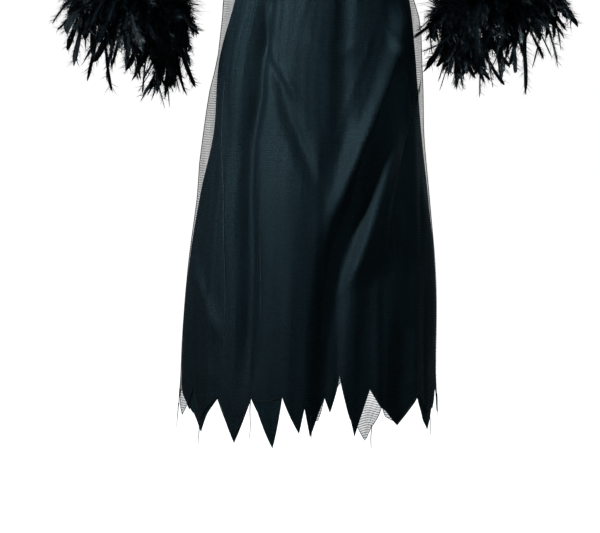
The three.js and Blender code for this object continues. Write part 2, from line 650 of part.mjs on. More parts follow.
// The boa on the +X side: a core round the wrist, with feathers whose roots are fused into it.
function featherCuff(strays, seed) {
  const sections = Array.from({ length: RING_POINTS }, (_, s) =>
    Array.from({ length: 6 }, (_, i) => {
      const angle = degrees(60 * i);
      return corePoint(roundAt(s), BOA_CORE * Math.cos(angle), BOA_CORE * Math.sin(angle));
    }),
  );
  const parts = [solid(loft(sections, true))];
  const draw = scatter(seed);
  for (let slot = 0; slot < FEATHERS; slot++) {
    const round = (360 * (slot + 0.3 * draw())) / FEATHERS;
    const nextToBody = Math.max(0, -Math.cos(degrees(round))) ** 0.5;
    const [random, width] = [draw(), mix(10, 15, draw()) * (1 - 0.45 * nextToBody)];
    const tier = TIERS[slot % TIERS.length];
    const fall = degrees(mix(tier.fall + 10 * (random - 0.5), 56 + tier.fall / 3, nextToBody));
    const length = tier.length * mix(0.86, 1.1, random);
    const root = corePoint(round, 0, 0);
    const outwards = corePoint(round, 1, 0).sub(root);
    const reach = outwards.multiplyScalar(Math.cos(fall)).addScaledVector(ARM, Math.sin(fall));
    const tip = root.clone().addScaledVector(reach, length);
    tip.z -= 0.12 * length;
    const stray = strays.find((one) => one.slot === slot);
    if (stray) tip.set(stray.tipX, stray.tipY, stray.tipZ);
    const elbow = root.clone().addScaledVector(reach, 0.5 * length);
    elbow.z += 0.1 * length;
    parts.push(feather(root, elbow, tip, width));
  }
  return geometryOf(wasm.Manifold.union(parts));
}

// The same geometry on the other side of the dress.
function mirror(geometry) {
  const copy = geometry.clone();
  copy.scale(-1, 1, 1);
  const index = copy.index.array;
  for (let i = 0; i < index.length; i += 3) [index[i + 1], index[i + 2]] = [index[i + 2], index[i + 1]];
  return copy;
}

// Materials.
const cloth = new THREE.MeshStandardMaterial({ color: 0x141f24, roughness: 0.55, metalness: 0 });
const gauze = new THREE.MeshStandardMaterial({ color: 0x1a2226, roughness: 0.7, metalness: 0 });
gauze.transparent = true;
gauze.opacity = 0.5;
const plume = new THREE.MeshStandardMaterial({ color: 0x07090c, roughness: 0.6, metalness: 0 });

const dress = new THREE.Group();
function add(name, geometry, material) {
  const mesh = new THREE.Mesh(geometry, material);
  mesh.name = name;
  dress.add(mesh);
}

const frontEdge = upperEdge(ARMHOLE_FRONT, NECKLINE_FRONT);
const backEdge = upperEdge(ARMHOLE_BACK, NECKLINE_BACK);
const wholeFront = [...mirrored(frontEdge), ...frontEdge.slice(0, -1).reverse()];
add("bodice_front", bodicePanel(wholeFront, 1, -90, 90), cloth);
add("bodice_back_right", bodicePanel(backEdge, -1, 90, 180), cloth);
add("bodice_back_left", bodicePanel(mirrored(backEdge).reverse(), -1, 180, 270), cloth);

const rightSleeve = sleeve();
add("sleeve_right", rightSleeve, cloth);
add("sleeve_left", mirror(rightSleeve), cloth);

add("skirt_front", skirtPanel("skirt", FRONT_HEM, -90, 90), cloth);
add("skirt_back_right", skirtPanel("skirt", BACK_HEM, 90, 180), cloth);
add("skirt_back_left", skirtPanel("skirt", BACK_HEM, 180, 270), cloth);
add("overskirt_front", skirtPanel("gauze", FRONT_HEM, -90, 90), gauze);
add("overskirt_back", skirtPanel("gauze", BACK_HEM, 90, 270), gauze);

add("feather_cuff_right", featherCuff(STRAYS_RIGHT, 47), plume);
add("feather_cuff_left", mirror(featherCuff(STRAYS_LEFT, 103)), plume);

export default dress;
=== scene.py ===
import math

import bpy
import numpy as np
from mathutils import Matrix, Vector


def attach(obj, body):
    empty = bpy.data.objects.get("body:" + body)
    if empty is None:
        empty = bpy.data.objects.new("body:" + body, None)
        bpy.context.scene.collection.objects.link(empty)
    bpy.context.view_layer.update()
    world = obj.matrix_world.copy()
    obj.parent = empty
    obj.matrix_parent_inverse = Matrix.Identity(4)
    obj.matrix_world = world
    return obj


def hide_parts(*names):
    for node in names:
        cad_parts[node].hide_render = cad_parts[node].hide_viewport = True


# The looks of a child's long witch dress: dull satin under a sheer overskirt, cuffs of black feathers.
# Tables and surfaces are in millimetres and degrees, as the solids are made; meshes are in metres.
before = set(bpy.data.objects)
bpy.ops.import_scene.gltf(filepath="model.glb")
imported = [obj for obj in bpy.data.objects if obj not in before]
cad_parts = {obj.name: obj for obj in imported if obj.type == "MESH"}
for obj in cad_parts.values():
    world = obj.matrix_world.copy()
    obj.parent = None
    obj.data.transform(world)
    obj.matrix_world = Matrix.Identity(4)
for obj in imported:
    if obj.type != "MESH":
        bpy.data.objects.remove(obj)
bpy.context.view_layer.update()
MM = 0.001


def new_object(name, data):
    made = bpy.data.objects.new(name, data)
    bpy.context.scene.collection.objects.link(made)
    return made


# The camera looks as the photo does, a little down.
FLOOR_Z = -1.155
PITCH = 6.65
TARGET = Vector((-0.021, 0.0, -0.840))
DISTANCE = 4.2

camera_data = bpy.data.cameras.new("camera")
camera_data.sensor_width = 36
camera_data.lens = 168
camera_data.clip_end = 400
camera = new_object("camera", camera_data)
pitch = math.radians(PITCH)
camera.location = TARGET + DISTANCE * Vector((0, -math.cos(pitch), math.sin(pitch)))
camera.rotation_euler = (math.pi / 2 - pitch, 0, 0)
bpy.context.scene.camera = camera
bpy.context.scene.view_settings.view_transform = "Standard"

# The forms of the dress, as in its solids: the waist, the height where the shoulders start to close, how
# far one unit of rise reaches below it, the gap at a seam in mm and in degrees, and the two thicknesses.
WAIST = -305
SHOULDER_START = -110
RISE_HEIGHT = 100
SEAM = 0.3
SEAM_TURN = 0.015
CLOTH = 0.9
GAUZE = 0.5

# z, middle, half width, half depth
SECTIONS = np.array([
    (20, 0, 158, 62), (-40, 0, 152, 78), (-100, 0, 136, 88), (-150, 0, 126, 90), (-170, 0, 122, 89),
    (-225, 3, 112, 86), (-305, 6, 106, 82), (-370, 9, 114, 92), (-440, 12, 129, 101),
    (-530, 5, 146, 109), (-640, 5, 155, 118), (-730, 0, 170, 126), (-840, -4, 184, 134),
    (-960, -8, 190, 142), (-1110, -10, 192, 150)], float)

# The main folds: the height and turn of the top, the middle and the foot, the spreads to lower and to
# higher turns, and the rise.
FOLDS = [
    (-600, 66, -733, 55, -900, 52, 4, 4, -6), (-660, 71, -812, 76, -1000, 77, 5, 5, 4),
    (-400, -54, -640, -48, -900, -46, 6, 6, 5), (-430, -44, -570, -20, -720, 3, 3.5, 3.5, -6),
    (-520, -15, -780, -12, -1300, -12, 10, 10, 7), (-850, -66, -1000, -64, -1300, -62, 5, 5, -7),
    (-860, 50, -1000, 47, -1300, 46, 5, 5, -9),
    (-430, 112, -700, 116, -1300, 120, 6, 6, -8), (-450, 131, -720, 133, -1300, 136, 6, 6, 10),
    (-470, 150, -700, 150, -1300, 151, 6, 6, -12), (-440, 167, -690, 166, -1300, 167, 6, 6, 10),
    (-480, 184, -740, 183, -1300, 184, 6, 6, -13), (-440, 200, -700, 201, -1300, 202, 6, 6, 9),
    (-460, 217, -730, 219, -1300, 220, 6, 6, -11), (-450, 236, -690, 237, -1300, 239, 6, 6, 9),
    (-520, 252, -760, 254, -1300, 257, 6, 6, -8)]

# The front's long folds, which bend more often. Each is a line of heights and turns, how far it takes
# to fade in at its top and out at its foot, its spreads to lower and to higher turns, and its rise.
LONG_FOLDS = [
    # the deep trough right of the middle, and the gathered ridge on its left
    (((-470, 59), (-510, 56), (-570, 45), (-652, 30), (-697, 23.5), (-727, 20), (-757, 14.8), (-794, 10),
      (-832, 7.4), (-892, 5.4), (-1042, 5), (-1300, 5)), 210, 600, 2.0, 6.0, -18),
    (((-690, 34), (-764, 23), (-832, 15.5), (-892, 13), (-1042, 12), (-1300, 11.5)), 70, 520, 4.2, 2.8, -11),
    (((-430, 60), (-510, 49.5), (-570, 38.5), (-614, 30), (-652, 23), (-697, 16.5), (-727, 13), (-757, 8),
      (-810, 3)), 45, 130, 3.6, 1.8, 15),
    # the second ridge, and the thin one with its shadow further right
    (((-620, 52), (-682, 40), (-712, 36), (-749, 30.4), (-809, 23.6), (-835, 19.5), (-890, 12)),
     60, 60, 1.8, 3.0, 7),
    (((-540, 84), (-569, 76), (-614, 62.7), (-652, 55.6), (-697, 46.3), (-727, 42), (-770, 36)),
     50, 60, 1.6, 0.9, 3.5),
    (((-540, 88), (-607, 70), (-652, 58.5), (-690, 51), (-727, 46), (-764, 43), (-860, 40)),
     60, 80, 2.4, 4.0, -8),
    (((-470, 42), (-520, 50), (-547, 57), (-584, 60.3), (-640, 62)), 35, 45, 1.6, 2.2, 5),
    # the soft trough high up right of the middle
    (((-370, 14), (-502, 14.4), (-584, 14), (-720, 10)), 70, 100, 4.0, 4.5, -8),
    # the long trough on the left, and the slanting folds from the hip
    (((-400, -38), (-457, -37.5), (-502, -35.5), (-577, -35), (-622, -38.5), (-652, -39.5), (-772, -32),
      (-832, -29), (-952, -28), (-1040, -28)), 60, 120, 4.4, 3.3, -13),
    (((-430, -41), (-469, -36.6), (-502, -31.2), (-532, -25), (-553, -18.4), (-600, -8)),
     30, 50, 1.6, 2.0, 4.5),
    (((-580, -22), (-610, -16.7), (-646, -9.2), (-697, 0), (-740, 5)), 35, 50, 3.0, 1.8, -2.8),
    (((-585, -17), (-610, -13), (-646, -5.8), (-697, 3.4), (-735, 8)), 35, 50, 1.8, 2.8, 1.7),
    # the crest of the middle and its left border
    (((-620, 0), (-697, 0.5), (-764, 1.5), (-832, -0.5), (-892, -2), (-1300, -3)), 70, 1, 12, 2.2, 4.5),
    (((-700, -28), (-832, -26), (-900, -25), (-1042, -24.5), (-1300, -24)), 90, 1, 0.9, 3.4, 1.9),
    # the short slanting ridge low on the left
    (((-800, -74), (-847, -65), (-885, -54), (-922, -46), (-950, -41)), 45, 45, 5.0, 2.8, 5),
    # the broad hollow right of the trough, and two short creases over the thigh
    (((-760, 38), (-850, 29.5), (-1042, 24), (-1300, 23)), 90, 1, 7, 17, -13),
    (((-488, -10), (-508, 1), (-528, 10)), 14, 14, 3.4, 2.4, 3.4),
    (((-496, 26), (-512, 18), (-532, 9)), 14, 16, 3.2, 2.4, 2.8)]

# Finer creases that only the cloth shows, each given as the main folds are.
CREASES = [
    # fine gathers along the bright ridge
    (-420, 58, -600, 30.5, -740, 9, 0.7, 0.6, 1.5), (-430, 54, -600, 27.5, -730, 8, 0.8, 0.6, 1.3),
    (-440, 48, -600, 23.5, -720, 6, 0.9, 0.8, 1.2), (-440, 41, -590, 17, -690, 4, 1.2, 1.0, 1.2),
    # short slanting creases under the right hip
    (-500, 68, -590, 62, -680, 60, 1.2, 1.8, -2.0), (-620, 76, -740, 66, -860, 62, 1.5, 1.5, -2.0),
    # long soft streaks down the left and the middle
    (-470, -63, -720, -55, -1010, -50, 1.2, 2.2, 1.8), (-600, -49, -800, -43, -1010, -39, 1.4, 1.2, -1.4),
    (-400, -58, -520, -56, -640, -53, 1.0, 1.4, 1.5), (-400, -49, -520, -46, -640, -46, 1.0, 1.2, 1.5),
    (-420, -26, -520, -22, -600, -20, 1.2, 1.2, -1.2), (-720, -19, -900, -18, -1300, -18, 1.4, 2.0, 1.2),
    (-700, -9, -900, -8, -1300, -9, 2.2, 1.4, 1.2), (-840, -36, -930, -36, -1300, -35, 1.6, 2.0, 1.9),
    (-860, -53, -940, -51, -1300, -50, 1.8, 1.4, 1.5), (-700, -72, -860, -70, -1300, -73, 2.0, 1.8, -1.8),
    # the dark right half, with faint ridges
    (-760, 36, -860, 33, -1300, 35, 1.4, 1.6, 2.0), (-820, 22, -930, 21, -1300, 22, 1.4, 1.8, 1.8),
    (-840, 41, -950, 40, -1300, 40, 1.6, 1.6, 1.6), (-860, 57, -980, 57, -1300, 58, 1.6, 1.8, 2.4),
    (-800, 65, -930, 65, -1300, 66, 1.4, 1.4, -1.8), (-890, 12, -980, 11, -1300, 11, 1.4, 1.2, 1.5),
    (-740, 82, -900, 84, -1300, 84, 1.6, 2.0, 1.5),
    # between hip and waist, all round
    (-330, -25, -380, -27, -450, -30, 1.4, 1.8, 1.6), (-335, -8, -400, -9, -470, -11, 1.3, 1.7, 1.4),
    (-330, 18, -390, 20, -460, 24, 1.5, 1.5, 1.7), (-335, 37, -390, 40, -450, 45, 1.3, 1.9, 1.6),
    (-330, -62, -390, -66, -460, -70, 1.6, 1.6, 1.5), (-330, 66, -390, 70, -450, 74, 1.4, 1.8, 1.5),
    # back: uneven companions of the hanging folds
    (-400, 101, -620, 103, -1300, 106, 1.8, 2.2, 1.9), (-520, 109, -760, 109, -1000, 111, 1.4, 1.8, -1.6),
    (-380, 123, -560, 126, -900, 127, 1.6, 1.6, 1.8), (-620, 124, -820, 126, -1300, 128, 1.8, 2.2, -2.0),
    (-360, 143, -520, 142, -800, 143, 1.4, 2.0, 1.7), (-700, 141, -880, 142, -1300, 143, 1.6, 1.8, 2.0),
    (-420, 158, -640, 159, -1300, 158, 1.8, 1.6, -1.9), (-360, 174, -560, 175, -860, 174, 1.6, 2.0, 1.8),
    (-640, 175, -860, 175, -1300, 176, 1.8, 1.8, -2.0), (-380, 192, -600, 193, -1300, 193, 1.6, 1.8, 1.9),
    (-420, 209, -600, 210, -900, 211, 1.4, 2.2, -1.7), (-660, 210, -860, 210, -1300, 211, 1.8, 1.6, 1.9),
    (-380, 227, -640, 228, -1300, 230, 1.6, 2.0, 1.8), (-480, 245, -700, 246, -1100, 248, 1.8, 1.6, -1.8),
    (-420, 262, -640, 264, -1300, 265, 1.6, 2.0, 1.7)]

# z, how far the gauze stands off all round, as much again at the left side, and at the right one
LIFT = np.array([
    (-305, 1.4, 0, 0), (-370, 2.2, 8, 3), (-440, 2.2, 15, 4), (-475, 2.2, 8, 9), (-530, 2.2, 0.5, 7),
    (-585, 2.2, 9, 5), (-640, 2.2, 13, 1.5), (-690, 2.0, 9, 0.5), (-730, 1.6, 2.5, 0.3),
    (-840, 1.2, 0.2, 0.1), (-960, 1.2, 0.2, 0.1), (-1010, 1.4, 0.4, 0.3), (-1110, 3.6, 4, 3)], float)

# turn, height of the skirt's hem, of the gauze's hem, how far each edge up to the next corner bulges down
FRONT_HEM = np.array([
    (-90, -1006, -1050, 2, 3), (-84, -1017, -1016, 2, 3), (-75, -1034, -1058, 2, 3),
    (-66, -1054, -1014, 2, 3), (-57, -1077, -1060, -3, -2), (-44, -1023, -1021, 0, 2),
    (-34, -1086, -1079, 2, 2), (-25.5, -1018, -1016, 0, 0), (-22, -1038, -1023, 2, 0),
    (-15, -1089, -1018, 7, 0), (-11, -1014, -1012, 3, 3), (-3.7, -1067, -1061, 0, 0),
    (-1.5, -1030, -1026, 0, 0), (1, -1073, -1042, 0, 2), (4.5, -1042, -1050, 0, 2),
    (7.5, -1018, -1016, 0, 0), (10, -1040, -1035, 5, 5), (14.5, -986, -988, 4, 4),
    (19.5, -1046, -1050, 0, 0), (22, -1076, -1054, 0, 1), (27, -1034, -1082, 0, 2),
    (30, -1008, -1066, 2, 2), (36, -1036, -1034, 0, 1), (38, -1040, -1049, 0, 2),
    (47.5, -1066, -1060, 2, 2), (58, -1026, -1018, 3, 3), (69, -1078, -1052, 3, 3),
    (80, -1020, -1018, 2, 2), (90, -1026, -1060, 0, 0)], float)
BACK_HEM = np.array([
    (90, -1026, -1060, 2, 2), (99, -1060, -1004, 3, 3), (109, -1000, -1050, 3, 2),
    (119, -1058, -996, 2, 3), (129, -1004, -1054, 3, 3), (140, -1064, -1000, 3, 2),
    (149, -996, -1046, 2, 3), (158, -1052, -994, 3, 3), (167, -1002, -1050, 3, 2),
    (176, -1060, -1000, 2, 3), (185, -998, -1052, 3, 3), (195, -1062, -996, 3, 2),
    (205, -1004, -1050, 2, 3), (214, -1054, -1002, 3, 3), (224, -998, -1056, 3, 2),
    (235, -1060, -998, 2, 3), (246, -1002, -1050, 3, 3), (258, -1062, -1004, 3, 2),
    (270, -1006, -1050, 0, 0)], float)

# x and z of the bodice's edges on its right half
ARMHOLE_FRONT = np.array([(127, -150), (115, -128), (110, -98), (115, -66), (129, -42), (148, -24)], float)
ARMHOLE_BACK = np.array([(127, -150), (119, -128), (116, -98), (121, -66), (133, -42), (148, -24)], float)
NECK_POINT = (58, 14)
SHOULDER_TIP = (148, -24)
NECKLINE_FRONT = np.array([(58, 14), (51, -10), (40, -31), (22, -45), (0, -50)], float)
NECKLINE_BACK = np.array([(58, 14), (50, 3), (34, -6), (16, -10), (0, -11)], float)

# x, z, tilt down from level, half width, half depth, how far it has left the armhole's own form
SLEEVE_RINGS = np.array([
    (127.5, -150.4, 10, 63, 52, 0), (128.5, -153.5, 30, 55, 53, 0.7), (129.5, -158, 49, 47, 52, 1),
    (131, -166, 62, 43, 50, 1), (135, -190, 69, 41, 48, 1), (153, -247, 72, 40, 45, 1),
    (170, -302, 72, 41, 44, 1), (185, -354, 72, 44, 45, 1), (196, -402, 72, 50, 49, 1),
    (204, -449, 72, 58, 55, 1)], float)


def smooth(value, low, high):
    """A soft step, from 0 at low to 1 at high."""
    t = np.clip((value - low) / (high - low), 0, 1)
    return t * t * (3 - 2 * t)


def unit(vectors):
    return vectors / np.maximum(np.linalg.norm(vectors, axis=-1, keepdims=True), 1e-9)


def arc(line):
    """How far along a line each of its points lies."""
    return np.concatenate([[0], np.cumsum(np.linalg.norm(np.diff(line, axis=0), axis=1))])


def picked(wanted, places, rows):
    """Rows of numbers, given at some places, at the wanted ones."""
    return np.stack([np.interp(wanted, places, column) for column in rows.T], -1)


def apart(turn, other):
    """The turn from one direction to another, from -180 to 180."""
    return (turn - other + 180) % 360 - 180


def between(a, b, c, d, t):
    """A smooth curve from b to c, with a before them and d after."""
    v0, v1 = (c - a) / 2, (d - b) / 2
    return (2 * b - 2 * c + v0 + v1) * t ** 3 + (-3 * b + 3 * c - 2 * v0 - v1) * t ** 2 + v0 * t + b


def column(table, place):
    """A smooth curve through one column of a table whose rows run down in z."""
    z, value = table[:, 0], table[:, place]
    row = np.arange(len(z))
    before, after = np.maximum(row - 1, 0), np.minimum(row + 1, len(z) - 1)
    slope = (value[after] - value[before]) / (z[after] - z[before])

    def at(height):
        i = np.clip(np.searchsorted(-z, -np.asarray(height, float)) - 1, 0, len(z) - 2)
        step = z[i + 1] - z[i]
        t = np.clip((height - z[i]) / step, 0, 1)
        t2, t3 = t * t, t * t * t
        values = (2 * t3 - 3 * t2 + 1) * value[i] + (3 * t2 - 2 * t3) * value[i + 1]
        return values + step * ((t3 - 2 * t2 + t) * slope[i] + (t3 - t2) * slope[i + 1])

    return at


middle_at, half_width_at, half_depth_at = (column(SECTIONS, k) for k in (1, 2, 3))
lift_at, left_lift_at, right_lift_at = (column(LIFT, k) for k in (1, 2, 3))


def as_line(fold):
    """A main fold or a crease, written as the long folds are."""
    *places, lower_spread, higher_spread, rise = fold
    fade = 0.3 * (places[0] - places[4])
    return (places[0:2], places[2:4], places[4:6]), fade, fade, lower_spread, higher_spread, rise


def fold_at(fold, turn, z):
    points, fade_in, fade_out, lower_spread, higher_spread, rise = fold
    heights, turns = np.array(points, float).T
    line = np.interp(-z, -heights, turns)
    strength = smooth(heights[0] - z, 0, fade_in) * smooth(z - heights[-1], 0, fade_out)
    away = apart(turn, line)
    away = away / np.where(away < 0, lower_spread, higher_spread)
    return rise * strength * np.exp(-0.5 * away * away)


ALL_FOLDS = LONG_FOLDS + [as_line(fold) for fold in FOLDS + CREASES]
# The gathers under the waist: waves all round, how often and how far they drift, where they end and are
# full, and their rise.
GATHERS = [(18, 3, 0.5, -450, -320, 2.2), (61, 5, 1.0, -400, -315, 0.5)]
RIPPLE = 0.3


def drape(turn, z):
    """How far folds, creases and gathers move the skirt's cloth outwards."""
    angle = np.radians(turn)
    wave = 0
    for waves, drifts, drift, end, full, rise in GATHERS:
        wave = wave + smooth(z, end, full) * rise * np.cos(waves * angle + drift * np.sin(drifts * angle))
    total = wave * smooth(-z, -WAIST, -WAIST + 25)
    for fold in ALL_FOLDS:
        total = total + fold_at(fold, turn, z)
    return total


def skirt_point(turn, z, out):
    angle = np.radians(turn)
    wide, deep = half_width_at(z), half_depth_at(z)
    away = unit(np.stack([np.sin(angle) / wide, -np.cos(angle) / deep], -1))
    moved = drape(turn, z) + out
    return np.stack([middle_at(z) + wide * np.sin(angle) + away[..., 0] * moved,
                     -deep * np.cos(angle) + away[..., 1] * moved, z + 0 * turn], -1)


def gauze_lift(turn, z):
    """How far the gauze stands off the skirt under it."""
    angle = np.radians(turn)
    side = np.sin(angle)
    extra = np.maximum(0, np.where(side < 0, left_lift_at(z), right_lift_at(z)))
    ripple = RIPPLE * np.sin(47 * angle + 2.4 * np.sin(z / 130) + 1.7 * np.sin(5 * angle))
    return lift_at(z) + extra * side ** 4 + ripple * smooth(-z, -WAIST, -WAIST + 60)


# Meshes: the angle that stays sharp, how far down a panel is before its points start, and their rows
SHARP_ANGLE = 62
STRAIGHT_TO = -965
POINT_ROWS = 15


def make_object(name, points, faces, uv):
    """One mesh from points in millimetres. uv holds a pair for each point, in metres."""
    mesh = bpy.data.meshes.new(name)
    mesh.from_pydata((points * MM).tolist(), [], faces, shade_flat=False)
    index = np.zeros(len(mesh.loops), np.int32)
    mesh.loops.foreach_get("vertex_index", index)
    layer = mesh.uv_layers.new(name="cloth")
    layer.data.foreach_set("uv", uv[index].astype(np.float32).ravel())
    mesh.update()
    return new_object(name, mesh)


def grid_normals(points, closed=False):
    if closed:
        across = np.roll(points, -1, 1) - np.roll(points, 1, 1)
    else:
        across = np.gradient(points, axis=1)
    return unit(np.cross(np.gradient(points, axis=0), across))


def shell(name, outer, thickness, material, slot, closed=False):
    """A thin wall under a grid of points whose rows run down and whose columns run to the right. Its
    name is a kind and then the node it stands for."""
    rows, columns = outer.shape[:2]
    inner = outer - grid_normals(outer, closed) * thickness
    points = np.concatenate([outer.reshape(-1, 3), inner.reshape(-1, 3)])
    index = np.arange(rows * columns).reshape(rows, columns)
    right = np.roll(index, -1, 1) if closed else index[:, 1:]
    left = index if closed else index[:, :-1]
    a, b, c, d = left[:-1], left[1:], right[1:], right[:-1]
    front = np.stack([a, b, c, d], -1).reshape(-1, 4)
    size = rows * columns
    back = np.stack([a, d, c, b], -1).reshape(-1, 4) + size
    top = np.stack([left[0], right[0], right[0] + size, left[0] + size], -1)
    low = np.stack([right[-1], left[-1], left[-1] + size, right[-1] + size], -1)
    parts = [front, back, top, low]
    if not closed:
        for side, order in ((index[:, 0], 1), (index[:, -1], -1)):
            upper, lower = side[:-1], side[1:]
            parts.append(np.stack([lower, upper, upper + size, lower + size], -1)[:, ::order])
    u = np.pad(np.cumsum(np.linalg.norm(np.diff(outer, axis=1), axis=-1), 1), ((0, 0), (1, 0)))
    v = np.pad(np.cumsum(np.linalg.norm(np.diff(outer, axis=0), axis=-1), 0), ((1, 0), (0, 0)))
    uv = np.stack([u - u[:, columns // 2:columns // 2 + 1], -v], -1).reshape(-1, 2) * MM
    made = make_object(name, points, np.concatenate(parts).tolist(), np.concatenate([uv, uv]))
    made.data.set_sharp_from_angle(angle=math.radians(SHARP_ANGLE))
    return finish_piece(made, material, slot, name.split("_", 1)[1])


def hem_at(hem, layer, turn):
    """The height of one layer's hem: 1 the skirt, 2 the gauze."""
    i = np.clip(np.searchsorted(hem[:, 0], turn - 1e-9), 1, len(hem) - 1)
    share = np.clip((turn - hem[i - 1, 0]) / (hem[i, 0] - hem[i - 1, 0]), 0, 1)
    bulge = hem[i - 1, layer + 2] * 4 * share * (1 - share)
    return hem[i - 1, layer] * (1 - share) + hem[i, layer] * share - bulge


def column_turns(hem, start, end, widest):
    """The turns of a panel's columns: each corner of the hem has one, and no step is wider than widest."""
    corners = [start, *hem[(hem[:, 0] > start) & (hem[:, 0] < end), 0], end]
    turns = [start]
    for a, b in zip(corners, corners[1:]):
        steps = max(2, math.ceil((b - a) / widest))
        turns.extend(a + (b - a) * np.arange(1, steps + 1) / steps)
    turns[0] += SEAM_TURN
    turns[-1] -= SEAM_TURN
    return np.array(turns)


def skirt_panel(name, layer, hem, start, end, widest, row_height):
    """One panel of a layer, 1 the skirt and 2 the gauze, from one turn to another, and its outer points."""
    turns = column_turns(hem, start, end, widest)
    upper = np.linspace(WAIST, STRAIGHT_TO, round((WAIST - STRAIGHT_TO) / row_height) + 1)
    share = np.linspace(0, 1, POINT_ROWS)[1:, None]
    low = STRAIGHT_TO + (hem_at(hem, layer, turns) - STRAIGHT_TO) * share
    z = np.concatenate([np.repeat(upper[:, None], len(turns), 1), low])
    turn = np.repeat(turns[None], len(z), 0)
    points = skirt_point(turn, z, gauze_lift(turn, z) if layer == 2 else 0)
    kind = (GAUZE, SHEER, "sheer_gauze") if layer == 2 else (CLOTH, DRESS_CLOTH, "black_cloth")
    return shell(name, points, *kind), points


def ridge_at(x):
    """The height of the shoulder's ridge, from the neck out to its tip."""
    along = (np.abs(x) - NECK_POINT[0]) / (SHOULDER_TIP[0] - NECK_POINT[0])
    return NECK_POINT[1] + (SHOULDER_TIP[1] - NECK_POINT[1]) * along


def bodice_face(turn, rise):
    """A point of the bodice: rise is 1 at the shoulder's ridge, 0 where it starts to close, less below."""
    angle = np.radians(turn)
    slope = np.pi / 2 * np.maximum(rise, 0)
    low = SHOULDER_START + np.minimum(rise, 0) * RISE_HEIGHT
    z = low
    x = middle_at(z) + half_width_at(z) * np.sin(angle)
    for _ in range(8):
        z = np.where(rise > 0, SHOULDER_START + (ridge_at(x) - SHOULDER_START) * np.sin(slope), low)
        x = middle_at(z) + half_width_at(z) * np.sin(angle)
    return np.stack([x, -half_depth_at(z) * np.cos(angle) * np.cos(slope), z], -1)


def on_bodice(places, side):
    """Turn and rise of places in x and z, on the front (side 1) or the back (side -1)."""
    x, z = places.T
    share = np.clip((x - middle_at(z)) / half_width_at(z), -1, 1)
    high = np.clip((z - SHOULDER_START) / (ridge_at(x) - SHOULDER_START), 0, 1)
    rise = np.where(z > SHOULDER_START, np.degrees(np.arcsin(high)) / 90, (z - SHOULDER_START) / RISE_HEIGHT)
    turn = np.degrees(np.arcsin(share))
    return (turn if side > 0 else 180 - turn), rise


def along(outline, steps):
    """Evenly spaced points on a smooth curve through the corners of an outline."""
    corners = np.concatenate([outline[:1], outline, outline[-1:]])
    t = np.linspace(0, 1, 40)[:, None]
    line = np.concatenate([between(*four, t) for four in zip(corners, corners[1:], corners[2:], corners[3:])])
    length = arc(line)
    return picked(np.linspace(0, length[-1], steps + 1), length, line)


ARMHOLE_STEPS = 40
SHOULDER_STEPS = 12
NECK_STEPS = 22
BODICE_ROWS = 52
# Depth of the creases against their tables, and how far the turned neck hem stands out
BODICE_CREASE = 1.7
SLEEVE_CREASE = 1.4
NECK_HEM = 0.7
# How close to the shoulder seam a wall may come, and the step of rise by which it is lowered
SEAM_HALF = 0.15
SEAM_STEP = 0.0004


def upper_edge(armhole, neckline):
    shoulder = np.array([SHOULDER_TIP, NECK_POINT], float)
    return np.concatenate([along(armhole, ARMHOLE_STEPS), along(shoulder, SHOULDER_STEPS)[1:],
                           along(neckline, NECK_STEPS)[1:]])


def clear_of_seam(turn, wanted):
    """The highest rise, up to the one wanted, where the wall stays on its own side of the shoulder seam."""
    rise = np.minimum(wanted, 1) + 0 * turn
    for _ in range(250):
        close = (np.abs(bodice_face(turn, rise)[..., 1]) < SEAM_HALF) & (rise > 0.5)
        rise = np.where(close, rise - SEAM_STEP, rise)
    return rise


# Soft creases of the bodice: x and z of both ends, spread, rise
BODICE_FRONT_CREASES = [
    (-96, -160, -52, -196, 7, -2.2), (98, -156, 56, -190, 7, -2.4), (-88, -230, -30, -262, 6, 1.6),
    (84, -236, 24, -258, 6, 1.8), (-60, -280, -10, -270, 5, -1.4), (66, -284, 18, -276, 5, -1.5),
    (-104, -112, -72, -92, 6, 1.6), (104, -110, 74, -88, 6, 1.5), (-40, -96, -6, -120, 8, 1.2),
    (-96, -196, -60, -236, 6, 1.5), (100, -200, 62, -240, 6, 1.4), (12, -150, 40, -178, 7, 1.2)]
BODICE_BACK_CREASES = [
    (-92, -164, -46, -204, 7, -2.2), (94, -160, 44, -198, 7, -2.0), (-80, -240, -20, -266, 6, 1.8),
    (86, -232, 30, -262, 6, 1.6), (-100, -118, -70, -96, 6, 1.5), (98, -116, 66, -98, 6, 1.6),
    (-30, -280, -74, -290, 5, -1.3), (34, -284, 70, -288, 5, -1.4), (-50, -130, -18, -168, 8, 1.4),
    (46, -128, 20, -170, 8, 1.3)]


def creased(points, creases, fade):
    """The grid moved along its normals by creases, each a soft line in x and z."""
    x, z = points[..., 0], points[..., 2]
    total = 0 * x
    for x0, z0, x1, z1, spread, rise in creases:
        dx, dz = x1 - x0, z1 - z0
        length = math.hypot(dx, dz)
        t = ((x - x0) * dx + (z - z0) * dz) / length ** 2
        away = ((x - x0) * dz - (z - z0) * dx) / length
        ends = smooth(t, -0.15, 0.35) * (1 - smooth(t, 0.65, 1.15))
        total = total + rise * ends * np.exp(-0.5 * (away / spread) ** 2)
    return points + grid_normals(points) * (BODICE_CREASE * total * fade)[..., None]


